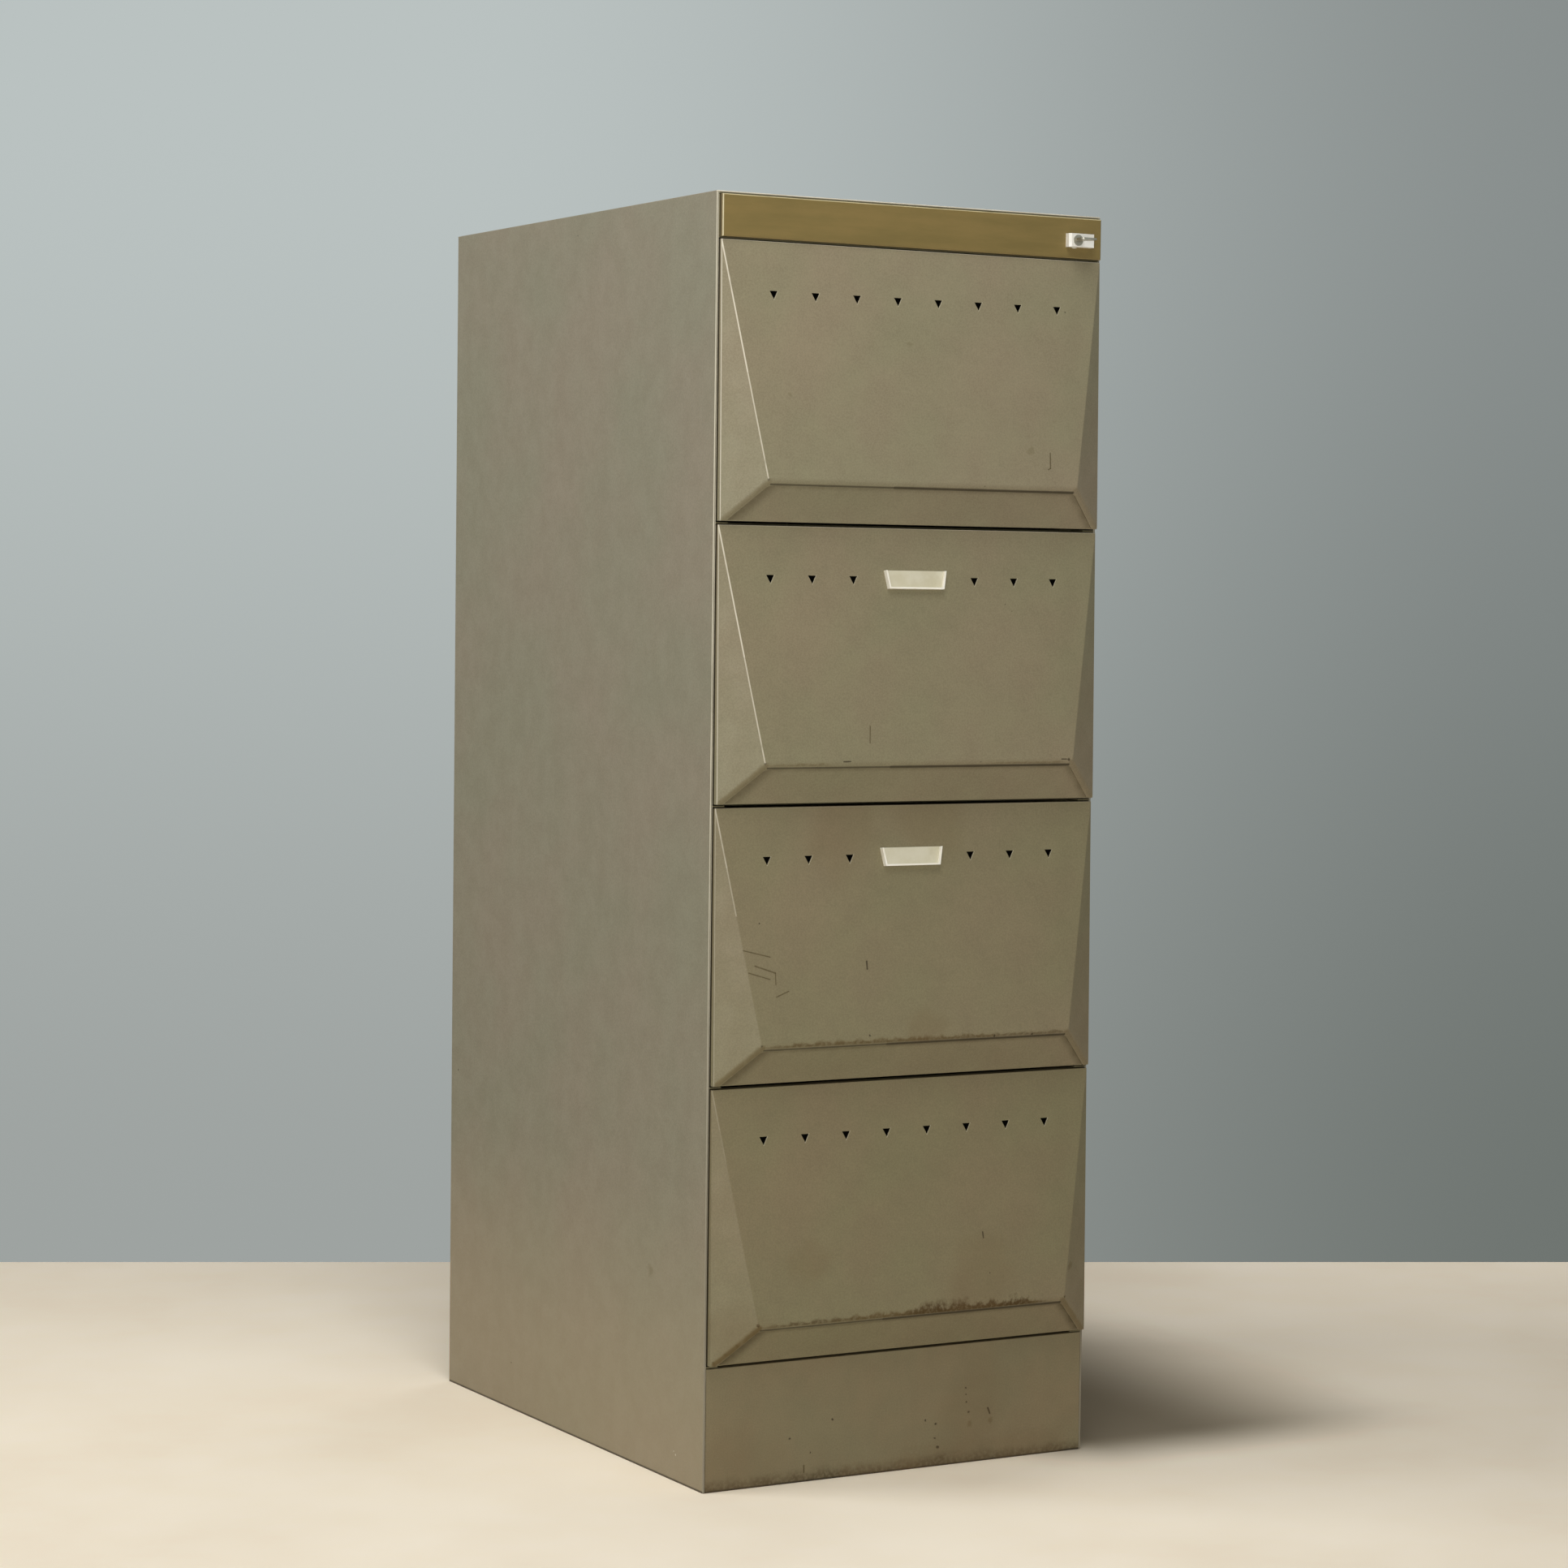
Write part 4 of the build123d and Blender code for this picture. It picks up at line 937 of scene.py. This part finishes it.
def makeRivet():
    bpy.ops.object.select_all(action="DESELECT")
    bpy.ops.mesh.primitive_circle_add(vertices=rivetLook["sides"], radius=rivetLook["radius"],
                                      fill_type="NGON")
    rivet = bpy.context.object
    bpy.ops.object.mode_set(mode="EDIT")
    bpy.ops.mesh.select_all(action="SELECT")
    steps = [*rivetLook["rings"], (rivetLook["hole"], 0.0),
             (rivetLook["holeTaper"], -rivetLook["holeDepth"])]
    for wide, rise in steps:
        lift = (0, 0, rise * rivetLook["rise"])
        bpy.ops.mesh.extrude_region_move(TRANSFORM_OT_translate={"value": lift})
        bpy.ops.transform.resize(value=(wide, wide, 1))
    bpy.ops.mesh.select_all(action="SELECT")
    bpy.ops.mesh.normals_make_consistent(inside=False)
    bpy.ops.object.mode_set(mode="OBJECT")
    bpy.ops.object.shade_smooth_by_angle(angle=math.radians(rivetLook["smoothBelow"]))
    return rivet


def addRivets(n):
    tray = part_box(f"drawer_{n}_tray")[1].x - rivetLook["trayHem"]
    low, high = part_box(f"drawer_{n}_slides")
    first, last = low.y + rivetLook["endGap"], high.y - rivetLook["endGap"]
    level = (low.z + high.z) / 2
    heads = ((-1, tray - rivetLook["traySheet"]), (1, tray + rivetLook["slideSheet"]))
    master = makeRivet()
    copies = []
    for side in (-1, 1):
        for faces, depth in heads:
            for k in range(rivetLook["perSide"]):
                along = first + (last - first) * k / (rivetLook["perSide"] - 1)
                rivet = master.copy()
                rivet.data = master.data.copy()
                bpy.context.collection.objects.link(rivet)
                rivet.location = (side * depth, along, level)
                rivet.rotation_euler = (0, math.radians(90) * side * faces, 0)
                copies.append(rivet)
    bpy.data.objects.remove(master)
    bpy.ops.object.select_all(action="DESELECT")
    for rivet in copies:
        rivet.select_set(True)
    bpy.context.view_layer.objects.active = copies[0]
    bpy.ops.object.join()
    bpy.ops.object.transform_apply(location=True, rotation=True, scale=True)
    rivets = bpy.context.object
    rivets.name = f"drawer_{n}_slide_rivets"
    rivets.data.materials.append(materials["rivet"])
    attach(rivets, f"drawer_{n}")


for n in drawers:
    addRivets(n)
print("rivets on", len(drawers), "trays")


floorLook = {
    "pale": srgb(232, 222, 203), "sandy": srgb(225, 213, 192), "cloud": (2.6, 5.0, 0.6), "size": 14.0,
    "roughness": 0.9, "specular": 0.1,
    "shown": 1.45,              # brightness to the camera against its own color
    "shade": srgb(109, 99, 79),    # tone shown where the photo's shadow is deeper than this light's
    "shadeShare": 0.9,
    "shadeAcross": ((0.12, 0.27), (0.38, 0.76)),
    "shadeAlong": ((-0.41, -0.25), (0.30, 0.60)),
}
wallLook = {
    # painted fall-off of light on the backdrop: brighter at the top and to the left
    "top": (srgb(186, 194, 193), srgb(136, 142, 141)),     # left and right as seen
    "foot": (srgb(158, 163, 161), srgb(111, 117, 113)),
    "place": (0.523, 0.842, 0.0),    # a point of the line where wall and floor meet
    "angle": -25.45,            # that line's way, degrees from the +X axis
    "size": 16.0,
    "across": (-0.55, 1.15),
    "rise": (0.0, 1.6),
}
cameraLook = {
    "place": (-2.0606, -3.6782, 0.9165), "lens": 87.64, "sensor": 36.0,
    "azimuth": -29.486, "elevation": 2.8475, "roll": 0.7062,
}
# a lamp's level is the share of full light that it gives to a surface that faces it
lightLook = {
    "world": 0.15,
    "around": srgb(150, 158, 157),    # what the camera and reflections see beyond the stage
    "aim": (0.0, 0.0, 0.75),
    "lamps": {
        "topLamp": {"way": (-0.27, -0.48, 0.83), "away": 2.3, "size": 1.2, "level": 0.445},
        "sideLamp": {"way": (-0.82, 0.28, 0.42), "away": 2.9, "size": 1.3, "level": 0.325},
        "frontLamp": {"way": (-0.45, -0.89, 0.02), "away": 3.0, "size": 1.6, "level": 0.385},
        "fillLamp": {"way": (0.80, 0.59, 0.12), "away": 3.2, "size": 2.0, "level": 0.26},
    },
}


# level 1 lights a surface that faces the lamp so that its color renders as written
def addLamp(name, way, away, size, level):
    toLamp = Vector(way).normalized()
    bpy.ops.object.light_add(type="AREA", location=Vector(lightLook["aim"]) + toLamp * away)
    lamp = bpy.context.object
    lamp.name = name
    lamp.data.size = size
    lamp.visible_camera = False
    lamp.data.energy = level * math.pi ** 2 * away ** 2
    lamp.rotation_mode = "QUATERNION"
    lamp.rotation_quaternion = toLamp.to_track_quat("Z", "Y")


def addCamera():
    az, el, roll = (math.radians(cameraLook[k]) for k in ("azimuth", "elevation", "roll"))
    back = Vector((math.sin(az) * math.cos(el), -math.cos(az) * math.cos(el), math.sin(el)))
    level = Vector((0, 0, 1)).cross(back).normalized()
    rise = back.cross(level)
    right = level * math.cos(roll) + rise * math.sin(roll)
    up = rise * math.cos(roll) - level * math.sin(roll)
    bpy.ops.object.camera_add()
    camera = bpy.context.object
    camera.name = "photoCamera"
    turn = Matrix((right, up, back)).transposed().to_4x4()
    camera.matrix_world = Matrix.Translation(cameraLook["place"]) @ turn
    camera.data.lens = cameraLook["lens"]
    camera.data.sensor_width = cameraLook["sensor"]
    bpy.context.scene.camera = camera


# 1 for what the camera sees, also by way of metal or glass
def seenRays(tree):
    path = put(tree, "ShaderNodeLightPath").outputs
    direct = mathNode(tree, "MAXIMUM", path["Is Camera Ray"], path["Is Glossy Ray"])
    return mathNode(tree, "MAXIMUM", direct, path["Is Transmission Ray"])


def mixShaders(tree, factor, first, second, output):
    mix = put(tree, "ShaderNodeMixShader")
    for socket, source in zip(mix.inputs, (factor, first, second)):
        tree.links.new(source, socket)
    tree.links.new(mix.outputs[0], output.inputs["Surface"])


def addPlane(name, size):
    bpy.ops.mesh.primitive_plane_add(size=size)
    plane = bpy.context.object
    plane.name = name
    return plane


def addFloor():
    look = floorLook
    floor = addPlane("studioFloor", look["size"])
    material, tree, shader, point = startMaterial("floorFinish")
    color = mixColor(tree, clouds(tree, point, look["cloud"]), look["pale"], look["sandy"])
    feed(tree, shader.inputs["Base Color"], color)
    shader.inputs["Roughness"].default_value = look["roughness"]
    shader.inputs["Specular IOR Level"].default_value = look["specular"]
    axes = axisValues(tree, point)
    shade = look["shadeShare"]
    for axis, (rise, fall) in ((axes[0], look["shadeAcross"]), (axes[1], look["shadeAlong"])):
        shade = times(tree, shade, ramp(tree, axis, *rise), fade(tree, axis, *fall))
    bright = vecNode(tree, "SCALE", color, scale=look["shown"])
    shown = put(tree, "ShaderNodeBsdfDiffuse")
    feed(tree, shown.inputs["Color"], mixColor(tree, shade, bright, look["shade"]))
    output = next(node for node in tree.nodes if node.type == "OUTPUT_MATERIAL")
    mixShaders(tree, seenRays(tree), shader.outputs[0], shown.outputs[0], output)
    floor.data.materials.append(material)


# the backdrop shows to the camera and in reflections, lights nothing and is clear from behind
def addWall():
    look = wallLook
    wall = addPlane("studioWall", look["size"])
    turn = Matrix.Rotation(math.radians(look["angle"]), 4, "Z")
    upright = Matrix.Rotation(math.radians(90), 4, "X")
    wall.matrix_world = Matrix.Translation(look["place"]) @ turn @ upright
    wall.visible_diffuse = False
    wall.visible_shadow = False
    material = bpy.data.materials.new("wallFinish")
    material.use_nodes = True
    tree = material.node_tree
    tree.nodes.clear()
    coords = put(tree, "ShaderNodeTexCoord")
    axes = axisValues(tree, coords.outputs["Object"])
    # painted fall-off of light across and up the backdrop
    across = ramp(tree, axes[0], *look["across"])
    rise = ramp(tree, axes[1], *look["rise"])
    top = mixColor(tree, across, *look["top"])
    foot = mixColor(tree, across, *look["foot"])
    glow = put(tree, "ShaderNodeEmission")
    feed(tree, glow.inputs["Color"], mixColor(tree, rise, foot, top))
    clear = put(tree, "ShaderNodeBsdfTransparent")
    facing = put(tree, "ShaderNodeNewGeometry")
    mixShaders(tree, facing.outputs["Backfacing"], glow.outputs[0], clear.outputs[0],
               put(tree, "ShaderNodeOutputMaterial"))
    wall.data.materials.append(material)


def addWorld():
    world = bpy.data.worlds.new("studioWorld")
    bpy.context.scene.world = world
    world.use_nodes = True
    tree = world.node_tree
    tree.nodes.clear()
    lit = put(tree, "ShaderNodeBackground")
    lit.inputs["Color"].default_value = (1, 1, 1, 1)
    lit.inputs["Strength"].default_value = lightLook["world"]
    shown = put(tree, "ShaderNodeBackground")
    shown.inputs["Color"].default_value = lightLook["around"]
    mixShaders(tree, seenRays(tree), lit.outputs[0], shown.outputs[0], put(tree, "ShaderNodeOutputWorld"))


addCamera()
addFloor()
addWall()
addWorld()
for name, lamp in lightLook["lamps"].items():
    addLamp(name, **lamp)
bpy.context.scene.view_settings.view_transform = "Standard"
print("camera, floor, backdrop and lamps in place")

nodeStep = {"across": 240, "down": 220}


# nodes stand in columns, each left of all that it feeds
def layOutNodes(tree):
    columns = {node.name: 0 for node in tree.nodes}
    moved = True
    while moved:
        moved = False
        for link in tree.links:
            column = columns[link.to_node.name] + 1
            if columns[link.from_node.name] < column:
                columns[link.from_node.name] = column
                moved = True
    filled = {}
    for node in tree.nodes:
        column = columns[node.name]
        row = filled.get(column, 0)
        filled[column] = row + 1
        node.location = (-column * nodeStep["across"], -row * nodeStep["down"])


trees = [wornLine, paintSpot, ridgeGrime, enamelSurface, platedSteel, bpy.context.scene.world.node_tree]
trees += [material.node_tree for material in bpy.data.materials if material.users and material.use_nodes]
for tree in trees:
    layOutNodes(tree)
print("node trees laid out:", len(trees))
